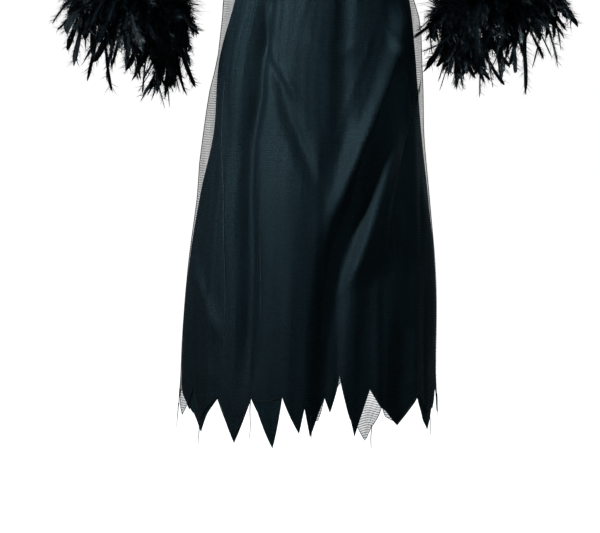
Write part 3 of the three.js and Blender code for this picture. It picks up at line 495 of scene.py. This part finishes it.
def bodice_panel(name, edge, side, start, end, creases, neck):
    """One panel of the bodice from the waist up to its edge, and its outer points. neck marks the hemmed
    columns with 1."""
    last = len(edge) - 1
    share = np.arange(last + 1) / last
    lowest = (WAIST + SEAM - SHOULDER_START) / RISE_HEIGHT
    turn, rise = on_bodice(edge, side)
    seam = np.zeros(last + 1)
    seam[0], seam[-1] = SEAM_TURN, -SEAM_TURN
    bottom = start + (end - start) * share + seam
    limited = np.clip(turn, start + SEAM_TURN, end - SEAM_TURN)
    level = np.linspace(1, 0, BODICE_ROWS)[:, None]
    turns = bottom + (limited - bottom) * level
    points = bodice_face(turns, lowest + (clear_of_seam(limited, rise) - lowest) * level)
    fade = smooth(1 - level, 0, 0.12) * smooth(level, 0, 0.05) * smooth(share, 0, 0.05)
    points = creased(points, creases, fade * (1 - smooth(share, 0.95, 1)))
    hem = NECK_HEM * (1 - smooth(1 - level, 0.035, 0.055)) * neck
    points = points + grid_normals(points) * hem[..., None]
    return shell(name, points, CLOTH, BODICE_CLOTH, "black_cloth"), points


def ring_point(ring, around, out):
    """A point of a sleeve's ring on the +X side. ring holds x, z, down, half width and half depth."""
    x, z, down, half_width, half_depth = ring[:5]
    tilt, angle = np.radians(down), np.radians(around)
    reach = half_width + (half_width + out) * np.cos(angle)
    return np.stack([x + np.sin(tilt) * reach, (half_depth + out) * np.sin(angle),
                     z + np.cos(tilt) * reach], -1)


def armhole_loop():
    """The armhole's edge on the +X side, round from its foot over the back, with its turns and rises."""
    turn_b, rise_b = on_bodice(along(ARMHOLE_BACK, ARMHOLE_STEPS)[::-1], -1)
    turn_f, rise_f = on_bodice(along(ARMHOLE_FRONT, ARMHOLE_STEPS)[1:], 1)
    turn, rise = np.concatenate([turn_b, turn_f]), np.concatenate([rise_b, rise_f])
    rise = clear_of_seam(turn, rise)
    return bodice_face(turn, rise), turn, rise


# Creases of the sleeve: places down it (0 armhole, 1 wrist) and round it, spreads in each, rise.
SLEEVE_CREASES = [
    (0.10, 175, 0.035, 34, -2.4), (0.17, 190, 0.03, 30, 2.0), (0.24, 168, 0.03, 38, -2.0),
    (0.12, 262, 0.04, 26, 1.6), (0.20, 290, 0.05, 24, -1.4), (0.15, 80, 0.04, 28, 1.5),
    (0.42, 300, 0.022, 34, -2.2), (0.47, 285, 0.02, 40, 2.0), (0.52, 305, 0.022, 36, -2.4),
    (0.57, 282, 0.02, 32, 1.8), (0.44, 70, 0.03, 30, 1.5), (0.55, 96, 0.03, 34, -1.6),
    (0.50, 180, 0.03, 30, -1.6), (0.36, 20, 0.05, 26, 1.2), (0.63, 40, 0.05, 24, -1.2)]
# Flutes that open towards the wrist: place round it, spread, rise
SLEEVE_FLUTES = [(20, 11, 3.0), (62, 12, -3.2), (104, 10, 2.8), (146, 12, -3.0), (188, 11, 2.6),
                 (226, 12, -3.2), (262, 10, 3.0), (300, 12, -3.0), (338, 10, 2.4)]


def sleeve_points():
    """The sleeve's outer face on the +X side, a grid of rings from the armhole to the wrist."""
    loop, turn, rise = armhole_loop()
    count = len(loop)
    step = 0.3
    across = np.roll(loop, -1, 0) - np.roll(loop, 1, 0)
    normal = unit(np.cross(bodice_face(turn + step, rise) - bodice_face(turn - step, rise),
                           bodice_face(turn, np.minimum(rise + 0.004, 1)) - bodice_face(turn, rise - 0.004)))
    away = unit(np.cross(across, normal))
    away *= np.where(away[:, :1] < 0, -1, 1)
    start = loop + away * (SEAM + 0.1)
    around = 360 * (np.arange(count) + 0.5) / count
    rows = np.concatenate([SLEEVE_RINGS[:1], SLEEVE_RINGS, SLEEVE_RINGS[-1:]])
    rings = []
    for place in np.concatenate([np.linspace(0, 4, 26), np.linspace(4, 9, 66)[1:]]):
        i = min(int(place), len(SLEEVE_RINGS) - 2)
        ring = between(*rows[i:i + 4], place - i)
        rings.append(start + (ring_point(ring, around, 0) - start) * min(max(ring[5], 0), 1))
    points = np.array(rings)
    length = arc(points.mean(1))
    down = (length / length[-1])[:, None]
    total = 0 * down + 0 * around
    for place, at, spread, width, rise_mm in SLEEVE_CREASES:
        turned = apart(around, at)
        slant = place + 0.0009 * turned
        total = total + rise_mm * np.exp(-0.5 * ((down - slant) / spread) ** 2 - 0.5 * (turned / width) ** 2)
    for at, width, rise_mm in SLEEVE_FLUTES:
        turned = apart(around, at + 14 * (down - 0.8))
        total = total + rise_mm * np.exp(-0.5 * (turned / width) ** 2) * smooth(down, 0.55, 0.95)
    return points - grid_normals(points, True) * (SLEEVE_CREASE * total * smooth(down, 0.02, 0.08))[..., None]


def mirrored(points):
    return (points * np.array([-1.0, 1, 1]))[:, ::-1]


# Materials; pitches are in metres
WARP, WEFT = 0.0007, 0.0009
GAUZE_WARP, GAUZE_WEFT = 0.0018, 0.0036
BARB_PITCH = 0.0011


def new_material(name):
    material = bpy.data.materials.new(name)
    material.use_nodes = True
    tree = material.node_tree
    shader = next(n for n in tree.nodes if n.type == "BSDF_PRINCIPLED")
    return material, tree, shader


def feed(tree, made, values):
    """Each input named gets a number, a colour or another node's output."""
    for key, value in values.items():
        if isinstance(value, bpy.types.NodeSocket):
            tree.links.new(value, made.inputs[key])
        else:
            made.inputs[key].default_value = value


def node(tree, kind, inputs=None, **settings):
    made = tree.nodes.new(kind)
    for key, value in settings.items():
        setattr(made, key, value)
    feed(tree, made, inputs or {})
    return made


def coordinates(tree, kind):
    return node(tree, "ShaderNodeTexCoord").outputs[kind]


def axes(tree, vector):
    return node(tree, "ShaderNodeSeparateXYZ", {"Vector": vector}).outputs


def maths(tree, operation, *values):
    return node(tree, "ShaderNodeMath", dict(enumerate(values)), operation=operation).outputs[0]


def weighted(tree, *parts):
    """The sum of outputs, each with its weight."""
    total = 0.0
    for output, weight in parts:
        total = maths(tree, "MULTIPLY_ADD", output, weight, total)
    return total


def ramp(tree, factor, low, high, start=0.3, end=0.7):
    """A grey or a colour that goes from low to high while the factor goes from start to end."""
    made = node(tree, "ShaderNodeValToRGB", {"Fac": factor})
    for element, place, colour in zip(made.color_ramp.elements, (start, end), (low, high)):
        element.position = place
        element.color = (*colour, 1) if hasattr(colour, "__len__") else (colour, colour, colour, 1)
    return made.outputs["Color"]


def noise(tree, place, scale, stretch=(1, 1, 1), detail=3.0):
    mapping = node(tree, "ShaderNodeMapping", {"Vector": place, "Scale": stretch})
    made = node(tree, "ShaderNodeTexNoise", {"Vector": mapping.outputs[0], "Scale": scale, "Detail": detail})
    return made.outputs["Fac"]


def stripes(tree, place, pitch, axis, sharp):
    """Rows of threads of a pitch in metres, 0 between them and 1 along their middles."""
    wave = maths(tree, "SINE", maths(tree, "MULTIPLY", axes(tree, place)[axis], 2 * math.pi / pitch))
    return maths(tree, "POWER", maths(tree, "MULTIPLY_ADD", wave, 0.5, 0.5), sharp)


def bump(tree, shader, height, strength, distance):
    made = node(tree, "ShaderNodeBump", {"Height": height, "Strength": strength, "Distance": distance})
    tree.links.new(made.outputs["Normal"], shader.inputs["Normal"])


def satin(name, dark, light):
    """Dull satin: uneven threads down the cloth, a fine weave across, a soft sheen."""
    material, tree, shader = new_material(name)
    uv = coordinates(tree, "UV")
    slub = noise(tree, uv, 1.0, (330, 9, 1), 4.0)
    cloud = noise(tree, uv, 16.0, (1, 0.5, 1))
    grain = noise(tree, uv, 1.0, (230, 180, 1))
    weave = maths(tree, "MULTIPLY", stripes(tree, uv, WARP, 0, 1.0), stripes(tree, uv, WEFT, 1, 1.0))
    shade = weighted(tree, (slub, 0.36), (cloud, 0.22), (grain, 0.42))
    feed(tree, shader, {
        "Base Color": ramp(tree, shade, dark, light, 0.44, 0.56),
        "Roughness": ramp(tree, slub, 0.40, 0.58),
        "Specular IOR Level": 0.22, "Specular Tint": (0.45, 0.85, 1.0, 1),
        "Sheen Weight": 0.02, "Sheen Roughness": 0.45, "Sheen Tint": (0.55, 0.8, 0.9, 1)})
    bump(tree, shader, weighted(tree, (weave, 0.2), (slub, 1.0), (grain, 1.0)), 0.6, 0.0008)
    return material


def sheer(name, colour, open_share, thread_share):
    """Sheer gauze: fine threads with clear gaps between them, denser near the hem."""
    material, tree, shader = new_material(name)
    uv = coordinates(tree, "UV")
    warp, weft = stripes(tree, uv, GAUZE_WARP, 0, 3.0), stripes(tree, uv, GAUZE_WEFT, 1, 2.0)
    thread = maths(tree, "MAXIMUM", warp, weft)
    cloud = noise(tree, uv, 1.0, (60, 9, 1))
    alpha = maths(tree, "MULTIPLY_ADD", thread, thread_share, open_share)
    uneven = maths(tree, "MULTIPLY", alpha, ramp(tree, cloud, 0.8, 1.15))
    height = axes(tree, coordinates(tree, "Object"))[2]
    near_hem = node(tree, "ShaderNodeMapRange", {"Value": height, "From Min": -1.0, "From Max": -1.04,
                                                 "To Min": 1.0, "To Max": 1.9})
    feed(tree, shader, {
        "Alpha": maths(tree, "MULTIPLY", uneven, near_hem.outputs[0]),
        "Base Color": ramp(tree, cloud, colour, tuple(1.6 * c for c in colour)),
        "Roughness": 0.6, "Specular IOR Level": 0.25, "Specular Tint": (0.5, 0.85, 1.0, 1)})
    bump(tree, shader, thread, 0.2, 0.0003)
    return material


def plumage(name, dark, light):
    """Black feather, with a bluish gloss; a tone stored on each feather keeps them apart."""
    material, tree, shader = new_material(name)
    tone = node(tree, "ShaderNodeAttribute", attribute_name="tone").outputs["Fac"]
    speck = noise(tree, coordinates(tree, "Object"), 260.0, detail=2.0)
    shade = weighted(tree, (speck, 0.3), (tone, 0.7))
    feed(tree, shader, {
        "Base Color": ramp(tree, shade, dark, light, 0.45, 0.95),
        "Roughness": ramp(tree, speck, 0.26, 0.42),
        "Specular IOR Level": 0.22, "Specular Tint": (0.7, 0.9, 1.0, 1)})
    across, up, _ = axes(tree, coordinates(tree, "UV"))
    out_and_up = maths(tree, "SUBTRACT", up, maths(tree, "ABSOLUTE", across))
    barbs = maths(tree, "SINE", maths(tree, "MULTIPLY", out_and_up, 2 * math.pi / BARB_PITCH))
    bump(tree, shader, barbs, 0.5, 0.00025)
    return material


def thread_material(name, colour):
    material, tree, shader = new_material(name)
    twist = noise(tree, coordinates(tree, "Object"), 900.0, detail=2.0)
    feed(tree, shader, {
        "Base Color": ramp(tree, twist, tuple(0.6 * c for c in colour), colour),
        "Roughness": 0.5, "Specular IOR Level": 0.25})
    bump(tree, shader, twist, 0.3, 0.0002)
    return material


DRESS_CLOTH = satin("dull_satin", (0.0017, 0.0068, 0.0100), (0.0072, 0.0186, 0.0260))
BODICE_CLOTH = satin("bodice_satin", (0.0019, 0.0070, 0.0102), (0.0072, 0.0180, 0.0248))
SHEER = sheer("sheer_gauze", (0.0070, 0.0135, 0.0185), 0.06, 0.3)
FEATHER = plumage("black_feather", (0.0008, 0.0018, 0.0030), (0.008, 0.015, 0.021))
THREAD = thread_material("black_thread", (0.012, 0.018, 0.021))
# A lighter thread for the gauze's two long seams: its colour is a painted highlight, standing in for light
# that the raised seams catch.
SEAM_HIGHLIGHT_THREAD = thread_material("seam_painted_highlight_thread", (0.042, 0.072, 0.088))


def finish_piece(piece, material, slot, *nodes):
    piece.data.materials.append(material)
    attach(piece, "root")
    if nodes:
        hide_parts(*nodes)
    return piece


# The cloth pieces
front_edge = upper_edge(ARMHOLE_FRONT, NECKLINE_FRONT)
back_edge = upper_edge(ARMHOLE_BACK, NECKLINE_BACK)
flip = np.array([-1.0, 1])
whole_front = np.concatenate([front_edge * flip, front_edge[:-1][::-1]])
half = np.concatenate([np.zeros(ARMHOLE_STEPS + SHOULDER_STEPS + 1), np.ones(NECK_STEPS)])
whole_neck = np.concatenate([half, half[:-1][::-1]])

bodice_front, front_points = bodice_panel(
    "cloth_bodice_front", whole_front, 1, -90, 90, BODICE_FRONT_CREASES, whole_neck)
bodice_right, right_points = bodice_panel(
    "cloth_bodice_back_right", back_edge, -1, 90, 180, BODICE_BACK_CREASES, half)
bodice_left, left_points = bodice_panel(
    "cloth_bodice_back_left", (back_edge * flip)[::-1], -1, 180, 270, BODICE_BACK_CREASES, half[::-1])

sleeve_right_points = sleeve_points()[:, ::-1]
sleeve_left_points = mirrored(sleeve_right_points)
sleeve_right, sleeve_left = (
    shell("cloth_sleeve_" + side, points, CLOTH, BODICE_CLOTH, "black_cloth", closed=True)
    for side, points in (("right", sleeve_right_points), ("left", sleeve_left_points)))

skirt_front, skirt_front_points = skirt_panel("cloth_skirt_front", 1, FRONT_HEM, -90, 90, 0.8, 8.0)
skirt_right, skirt_right_points = skirt_panel("cloth_skirt_back_right", 1, BACK_HEM, 90, 180, 1.0, 8.0)
skirt_left, skirt_left_points = skirt_panel("cloth_skirt_back_left", 1, BACK_HEM, 180, 270, 1.0, 8.0)
gauze_front, gauze_front_points = skirt_panel("gauze_overskirt_front", 2, FRONT_HEM, -90, 90, 0.85, 9.0)
gauze_back, gauze_back_points = skirt_panel("gauze_overskirt_back", 2, BACK_HEM, 90, 270, 1.0, 9.0)


# Sewing, in mm: the stitches, the row of the neck's ones, the gauze's rolled edge and its side seams
STITCH = 2.5
STITCH_PITCH = 3.6
STITCH_RADIUS = 0.32
NECK_ROW = 4
ROLLED_EDGE = 0.55
SIDE_SEAM = 0.6


class Mesh:
    """Points and faces gathered from many small things into one mesh."""

    def __init__(self):
        self.points, self.faces, self.tones, self.uvs, self.count = [], [], [], [], 0

    def add(self, points, faces, tone=0.5, uv=None):
        points = points.reshape(-1, 3)
        self.points.append(points)
        self.faces += [[self.count + corner for corner in face] for face in faces]
        self.tones.append(np.zeros(len(points)) + tone)
        self.uvs.append(np.zeros((len(points), 2)) if uv is None else uv)
        self.count += len(points)

    def build(self, name):
        made = make_object(name, np.concatenate(self.points), self.faces, np.concatenate(self.uvs))
        tone = made.data.attributes.new("tone", "FLOAT", "POINT")
        tone.data.foreach_set("value", np.concatenate(self.tones).astype(np.float32))
        return made


def square_to(line):
    """Two directions square to a line at each of its points."""
    tangent = unit(np.gradient(line, axis=0))
    helper = np.where(np.abs(tangent[:, 2:]) > 0.9, np.array([[1.0, 0, 0]]), np.array([[0, 0, 1.0]]))
    side = unit(np.cross(tangent, helper))
    return side, np.cross(side, tangent)


def tube(mesh, line, radius, sides=5, tone=0.5):
    """A closed tube along a line; radius may change along it."""
    side, lift = square_to(line)
    angle = (2 * np.pi * np.arange(sides) / sides)[:, None]
    ring = np.cos(angle) * side[:, None] + np.sin(angle) * lift[:, None]
    points = line[:, None] + ring * np.broadcast_to(radius, len(line))[:, None, None]
    index = np.arange(len(line) * sides).reshape(len(line), sides)
    after = np.roll(index, -1, 1)
    quads = np.stack([index[:-1], after[:-1], after[1:], index[1:]], -1).reshape(-1, 4)
    mesh.add(points, [*quads.tolist(), index[0, ::-1].tolist(), index[-1].tolist()], tone)


def stitches(mesh, grid, where, closed=False):
    """A row of short raised stitches on the part of a grid that where picks."""
    spots = np.concatenate([grid, grid_normals(grid, closed)], -1)[where]
    if closed:
        spots = np.concatenate([spots, spots[:1]])
    length = arc(spots[:, :3])
    for start in np.arange(0.5, length[-1] - STITCH, STITCH_PITCH):
        here = picked(start + STITCH * np.array([0, 0.3, 0.7, 1]), length, spots)
        raised = here[:, :3] + here[:, 3:] * np.array([[-0.1], [0.28], [0.28], [-0.1]])
        tube(mesh, raised, STITCH_RADIUS * np.array([0.5, 1, 1, 0.5]), 4)


sewing = Mesh()
neck_from = ARMHOLE_STEPS + SHOULDER_STEPS + 1
closing = slice(NECK_ROW, -3)
for grid, where in ((front_points, (NECK_ROW, slice(neck_from, -neck_from))),
                    (right_points, (NECK_ROW, slice(neck_from, None))),
                    (left_points, (NECK_ROW, slice(None, -neck_from))),
                    (front_points, -2), (right_points, -2), (left_points, -2),
                    (right_points, (closing, -2)), (left_points, (closing, 1)),
                    (skirt_front_points, 1), (skirt_right_points, 1), (skirt_left_points, 1)):
    stitches(sewing, grid, where)
for grid in (sleeve_right_points, sleeve_left_points):
    stitches(sewing, grid, 3, closed=True)
finish_piece(sewing.build("stitching"), THREAD, "black_cloth")

# Threads that hang loose from the hem: turn, top and foot
LOOSE_THREADS = [(-25.5, -1014, -1078), (-87, -1046, -1082), (-56.5, -1062, -1096), (1.2, -1040, -1076),
                 (30.5, -1060, -1094), (84, -1030, -1066), (69.5, -1050, -1086), (112, -1040, -1078),
                 (158, -994, -1040), (196, -1000, -1030), (243, -1030, -1066)]
# Two long raised seams of the gauze, whose thread is given a lighter colour as a painted highlight where the
# seams catch the light: x and z of the top and of the foot, radius
HIGHLIGHTED_SEAMS = [(-126, -560, -132, -972, 0.5), (-78, -745, -77, -905, 0.4)]

rolled = Mesh()
for grid in (gauze_front_points, gauze_back_points):
    middle = grid - grid_normals(grid) * GAUZE / 2
    tube(rolled, middle[-1], ROLLED_EDGE)
    tube(rolled, middle[::3, 0], SIDE_SEAM)
    tube(rolled, middle[::3, -1], SIDE_SEAM)
for turn_at, z_top, z_foot in LOOSE_THREADS:
    z = np.linspace(z_top, z_foot, 16)
    turn = turn_at + 0.5 * np.sin(z / 9 + turn_at) * np.linspace(0, 1, 16)
    tube(rolled, skirt_point(turn, z, gauze_lift(turn, z)), np.linspace(0.75, 0.3, 16), 4)
finish_piece(rolled.build("gauze_edges"), THREAD, "sheer_gauze")

# The raised seams are real; the lighter thread they are drawn in paints their highlight.
seam_highlights = Mesh()
for x_top, z_top, x_foot, z_foot, radius in HIGHLIGHTED_SEAMS:
    z = np.linspace(z_top, z_foot, 90)
    turn = np.degrees(np.arcsin((np.linspace(x_top, x_foot, 90) - middle_at(z)) / half_width_at(z)))
    line = skirt_point(turn, z, gauze_lift(turn, z) + 0.15)
    tube(seam_highlights, line, radius * np.sin(np.pi * np.linspace(0.03, 0.97, 90)) ** 0.4)
finish_piece(seam_highlights.build("gauze_seams"), SEAM_HIGHLIGHT_THREAD, "sheer_gauze")


# The feather cuffs, each a boa sewn round a wrist, a little above the sleeve's end
CUFF_RISE = 6
BOA_CORE = 8
CORD_RADIUS = 7.4
# Long feathers, short ones, those of them that lie up the sleeve, and the barbs of each
LONG_FEATHERS = 56
SHORT_FEATHERS = 470
LYING_UP = 64
LONG_BARBS = 150
SHORT_BARBS = 95
GOLDEN_TURN = 137.508
LEAST_HALF_WIDTH = 0.12
# How far down from straight out each tier of long feathers falls, and its length
TIERS = [(-22, 44), (22, 60), (52, 84), (78, 112)]
# The long feathers that stray from their tier: which one, and its tip as on the +X side
STRAYS_RIGHT = {55: (378, -8, -506), 51: (356, -42, -540), 3: (354, 24, -536), 35: (168, -70, -522),
                39: (222, -78, -576), 47: (294, -70, -578), 19: (216, 62, -570)}
STRAYS_LEFT = {55: (376, -8, -488), 51: (360, -42, -532), 39: (214, -76, -598), 47: (302, -68, -574),
               7: (318, 56, -562), 19: (226, 66, -584)}
# Steps along a shaft, closer at the tip, the columns of its vane, and the steps that the shaft keeps
VANE_STEPS = np.concatenate([np.linspace(0, 0.84, 9), [0.9, 0.945, 0.975, 0.992, 1.0]])
VANE_COLUMNS = np.array([-1.0, -0.55, 0, 0.55, 1.0])
SHAFT_STEPS = [0, 4, 8, 11, 13]

wrist, above = SLEEVE_RINGS[-1], SLEEVE_RINGS[-2]
ARM = np.array([math.cos(math.radians(wrist[2])), 0, -math.sin(math.radians(wrist[2]))])
CUFF = wrist + (above - wrist) * (CUFF_RISE / math.hypot(wrist[0] - above[0], wrist[1] - above[1]))


def core_point(around, out=0.0, down=0.0):
    """A point by the boa's core on the +X side, so far outwards and so far down the arm."""
    return ring_point(CUFF, around, SEAM + BOA_CORE + out) + ARM * np.asarray(down)[..., None]


def outwards_at(around):
    return core_point(around, 1.0) - core_point(around)


def scatter(seed):
    """Repeatable scatter: the same numbers from 0 to 1 on every run."""
    state = seed
    while True:
        state = (state * 16807) % 2147483647
        yield state / 2147483647


def shaft_frame(root, elbow, tip, curl, rng):
    """The line of a curved shaft, with its directions ahead, across its vane and square to the vane."""
    t = VANE_STEPS[:, None]
    chord = tip - root
    size = np.linalg.norm(chord)
    side = np.cross(chord, elbow - root)
    side = unit(side if np.linalg.norm(side) >= 1 else np.array([0.0, 1, 0]))
    hook = np.cross(chord / size, side)
    line = (1 - t) ** 2 * root + 2 * t * (1 - t) * elbow + t ** 2 * tip
    line = line + (hook * curl[0] + side * curl[1]) * size * np.maximum(0, t - 0.35) ** 2
    twist = rng.uniform(-0.8, 0.8) + rng.uniform(-0.6, 0.6) * t
    ahead = unit(np.gradient(line, VANE_STEPS, axis=0))
    level = unit(side - ahead * (ahead @ side)[:, None])
    upright = np.cross(ahead, level)
    return (line, ahead, level * np.cos(twist) + upright * np.sin(twist),
            upright * np.cos(twist) - level * np.sin(twist))


def add_vane(mesh, shaft, half_width, size, tone, rng):
    """A blunt cupped vane with ragged edges. Gives how wide it is along the shaft, as a share."""
    line, ahead, across, upright = (rows[:, None] for rows in shaft)
    share = VANE_STEPS[:, None]
    blunt = np.sqrt(1 - smooth(share, rng.uniform(0.91, 0.97), 1.01))
    profile = (0.3 + 0.7 * smooth(share, 0.1, 0.7)) * blunt
    ragged = rng.uniform(0.75, 1.08, (len(share), 2))
    wide = np.where(VANE_COLUMNS < 0, ragged[:, :1], ragged[:, 1:]) * profile * half_width
    wide = np.maximum(wide, LEAST_HALF_WIDTH)
    cut = rng.uniform(-1.4, 1.4) * VANE_COLUMNS * share ** 4
    swept = (0.4 * np.abs(VANE_COLUMNS) * (1 - share) + cut) * half_width
    points = (line + ahead * swept[..., None] + across * (VANE_COLUMNS * wide)[..., None]
              - upright * (0.28 * VANE_COLUMNS ** 2 * wide)[..., None])
    index = np.arange(wide.size).reshape(wide.shape)
    quads = np.stack([index[:-1, :-1], index[1:, :-1], index[1:, 1:], index[:-1, 1:]], -1).reshape(-1, 4)
    uv = np.stack([VANE_COLUMNS * wide, share * size + 0 * wide], -1).reshape(-1, 2) * MM
    mesh.add(points, quads.tolist(), tone, uv)
    return profile[:, 0]


def add_barbs(mesh, shaft, profile, half_width, barbs, tone, fluff, rng):
    """Loose barbs that leave the shaft on both sides, longer and wilder at its foot the more fluff it has."""
    places = np.sort(rng.uniform(0.03, 0.98, barbs))
    sides = np.where(np.arange(barbs) % 2, 1.0, -1.0)
    base, ahead, across, upright = (picked(places, VANE_STEPS, rows) for rows in shaft)
    loose = 1 - 0.75 * smooth(places, 0.15, 0.85)
    reach = np.interp(places, VANE_STEPS, profile)
    length = half_width * (reach * rng.uniform(1.1, 1.6, barbs) + 0.3) + 2.0
    length = length + fluff * loose * rng.uniform(1.5, 6.0, barbs) + 4.0 * rng.random(barbs) ** 3
    lean = np.radians(44 + rng.normal(0, 12, barbs) - 18 * loose)
    droop = rng.normal(-0.1, 0.14, barbs) + fluff * loose * rng.normal(0, 0.8, barbs)
    way = across * (sides * np.cos(lean))[:, None] + ahead * np.sin(lean)[:, None] + upright * droop[:, None]
    later = ahead * 0.35 + upright * (droop * 0.6)[:, None]
    edge = unit(np.cross(way, upright)) * rng.uniform(0.5, 0.95, barbs)[:, None] / 2
    middle = base + way * (length * 0.55)[:, None] + later * (length * 0.3)[:, None]
    end = base + (way + later) * length[:, None]
    points = np.stack([base - edge, base + edge, middle - edge, middle + edge, end], 1)
    first = 5 * np.arange(barbs)[:, None]
    faces = (first + np.array([[0, 1, 3, 2]])).tolist() + (first + np.array([[2, 3, 4]])).tolist()
    mesh.add(points, faces, np.repeat(tone * rng.uniform(0.7, 1.25, barbs), 5))


def feather(mesh, root, elbow, tip, half_width, barbs, rng, tone, fluff, curl):
    """One feather: a shaft, its vane and its barbs."""
    shaft = shaft_frame(root, elbow, tip, curl, rng)
    tube(mesh, shaft[0][SHAFT_STEPS], np.linspace(0.5, 0.12, len(SHAFT_STEPS)), 3, tone * 0.8)
    profile = add_vane(mesh, shaft, half_width, np.linalg.norm(tip - root), tone, rng)
    add_barbs(mesh, shaft, profile, half_width, barbs, tone, fluff, rng)


def long_feather(mesh, slot, strays, sign, draw, rng):
    """A long feather where the solid has a blade."""
    around = 360 * (slot + 0.3 * next(draw)) / LONG_FEATHERS
    near_body = max(0.0, -math.cos(math.radians(around))) ** 0.5
    random = next(draw)
    half_width = (5 + 2.5 * next(draw)) * (1 - 0.45 * near_body)
    tier_fall, tier_length = TIERS[slot % len(TIERS)]
    first = tier_fall + 10 * (random - 0.5)
    fall = math.radians(first + (56 + tier_fall / 3 - first) * near_body)
    length = tier_length * (0.86 + 0.24 * random)
    root = core_point(around)
    reach = outwards_at(around) * math.cos(fall) + ARM * math.sin(fall)
    tip = root + reach * length - np.array([0, 0, 0.12 * length])
    elbow = root + reach * 0.5 * length + np.array([0, 0, 0.1 * length])
    if slot in strays:
        tip = np.array(strays[slot], float)
    half_width *= 0.85 if slot in strays else rng.uniform(0.6, 1.0)
    feather(mesh, root * sign, elbow * sign, tip * sign, half_width, LONG_BARBS, rng,
            rng.uniform(0.1, 0.9), rng.uniform(0.4, 1.0), rng.uniform(-0.4, 0.4, 2))


def short_feather(mesh, slot, inner_fall, fullness, sign, rng):
    """A short feather between the long ones; the last ones lie up the sleeve and hide the cord."""
    lies_up = slot >= SHORT_FEATHERS - LYING_UP
    fluffy = slot % 5 < 2 or lies_up
    around = (slot * GOLDEN_TURN) % 360
    towards_body = -math.cos(math.radians(around))
    near_body = max(0.0, towards_body) ** 0.5
    share = rng.random() ** 0.7
    tier_fall = -34 + 116 * share
    first = tier_fall + rng.uniform(-10, 10)
    least_fall = inner_fall if share < 0.4 else 70
    fall = math.radians(first + (least_fall + tier_fall / 4 - first) * near_body)
    fall = fall + 0.75 * max(0.0, -towards_body) * (1 - share)
    length = (26 + 80 * share) * (1.08 + 0.18 * towards_body - 0.1 * towards_body ** 2)
    length = length * rng.uniform(0.78, 1.1) * fullness * (0.8 if fluffy else 1)
    if lies_up:
        fall, length, share = -math.radians(rng.uniform(50, 105)), rng.uniform(24, 36), 0.0
    root = core_point(around, rng.uniform(-3, 3), rng.uniform(-5, 5))
    round_it = unit(core_point(around + 1) - core_point(around - 1))
    reach = outwards_at(around) * math.cos(fall) + ARM * math.sin(fall) + round_it * rng.normal(0, 0.24)
    elbow = root + reach * 0.45 * length + np.array([0, 0, 0.1 * length])
    tip = root + unit(reach * (1 - 0.45 * share) - np.array([0, 0, 0.45 * share])) * length
    half_width = rng.uniform(3.2, 5.2) * (0.4 if fluffy else 1)
    feather(mesh, root * sign, elbow * sign, tip * sign, half_width, SHORT_BARBS, rng,
            rng.uniform(0.05, 0.9) ** 1.5, 1.35 if fluffy else 0.8,
            rng.uniform(-0.9, 0.9, 2) * (1 - 0.3 * share))


def feather_cuff(side_name, strays, seed, mirror, inner_fall, fullness):
    """The boa round one sleeve: long feathers where the solid has its blades, short ones and the cord."""
    draw = scatter(seed)
    rng = np.random.default_rng(seed)
    sign = np.array([-1.0 if mirror else 1.0, 1, 1])
    long_ones, short_ones, cord = Mesh(), Mesh(), Mesh()
    for slot in range(LONG_FEATHERS):
        long_feather(long_ones, slot, strays, sign, draw, rng)
    for slot in range(SHORT_FEATHERS):
        short_feather(short_ones, slot, inner_fall, fullness, sign, rng)
    around = np.linspace(0, 360, 120, endpoint=False)
    winding = np.radians(around) * 40
    line = core_point(around, 0.5 * np.sin(winding), 0.5 * np.cos(winding)) * sign
    tube(cord, np.concatenate([line, line[:1]]), CORD_RADIUS, 12, 0.2)
    for name, mesh in (("feathers_long_", long_ones), ("feathers_short_", short_ones), ("boa_cord_", cord)):
        finish_piece(mesh.build(name + side_name), FEATHER, "black_feather", "feather_cuff_" + side_name)


feather_cuff("right", STRAYS_RIGHT, 47, False, 36, 1.12)
feather_cuff("left", STRAYS_LEFT, 103, True, 70, 1.17)

# Floor and light. A light's row: name, place, where it points, width, power, spread, colour
SPAN = 120
LIGHTS = [("key", (-2.75, -2.3, 1.0), (-0.06, 0, -0.40), 0.5, 4.0, 25, (1, 1, 1)),
          ("fill", (0.4, -4.0, 1.2), (0, 0, -0.5), 1.2, 4.5, 180, (1, 1, 1)),
          ("edge", (2.8, 2.2, 0.6), (0.1, 0, -0.75), 0.8, 1.2, 40, (0.7, 0.93, 1.0)),
          ("side", (2.6, -2.4, 0.5), (0.15, 0, -0.48), 0.8, 0.33, 25, (0.75, 0.95, 1.0)),
          ("rim", (1.2, 2.8, 1.8), (0, 0, -0.5), 1.6, 24, 180, (0.75, 0.93, 1.0))]

floor_mesh = bpy.data.meshes.new("floor")
floor_mesh.from_pydata([(-SPAN, -SPAN, FLOOR_Z), (SPAN, -SPAN, FLOOR_Z), (SPAN, SPAN, FLOOR_Z),
                        (-SPAN, SPAN, FLOOR_Z)], [], [(0, 1, 2, 3)])
floor = new_object("floor", floor_mesh)
floor_material, floor_tree, floor_shader = new_material("pale_floor")
floor_grain = noise(floor_tree, coordinates(floor_tree, "Object"), 30.0)
feed(floor_tree, floor_shader, {
    "Base Color": ramp(floor_tree, floor_grain, 0.84, 0.88),
    "Roughness": 0.9, "Emission Color": (1, 1, 1, 1), "Emission Strength": 0.95})
floor_mesh.materials.append(floor_material)
floor.visible_diffuse = False
floor.visible_glossy = False

world = bpy.data.worlds.new("studio")
bpy.context.scene.world = world
world.use_nodes = True
feed(world.node_tree, world.node_tree.nodes["Background"], {"Color": (1, 1, 1, 1), "Strength": 0.08})

for name, place, target, size, power, spread, colour in LIGHTS:
    data = bpy.data.lights.new(name, "AREA")
    data.shape = "DISK"
    data.size = size
    data.energy = power
    data.spread = math.radians(spread)
    data.color = colour
    light = new_object(name, data)
    light.location = place
    light.rotation_euler = (Vector(target) - Vector(place)).to_track_quat("-Z", "Y").to_euler()
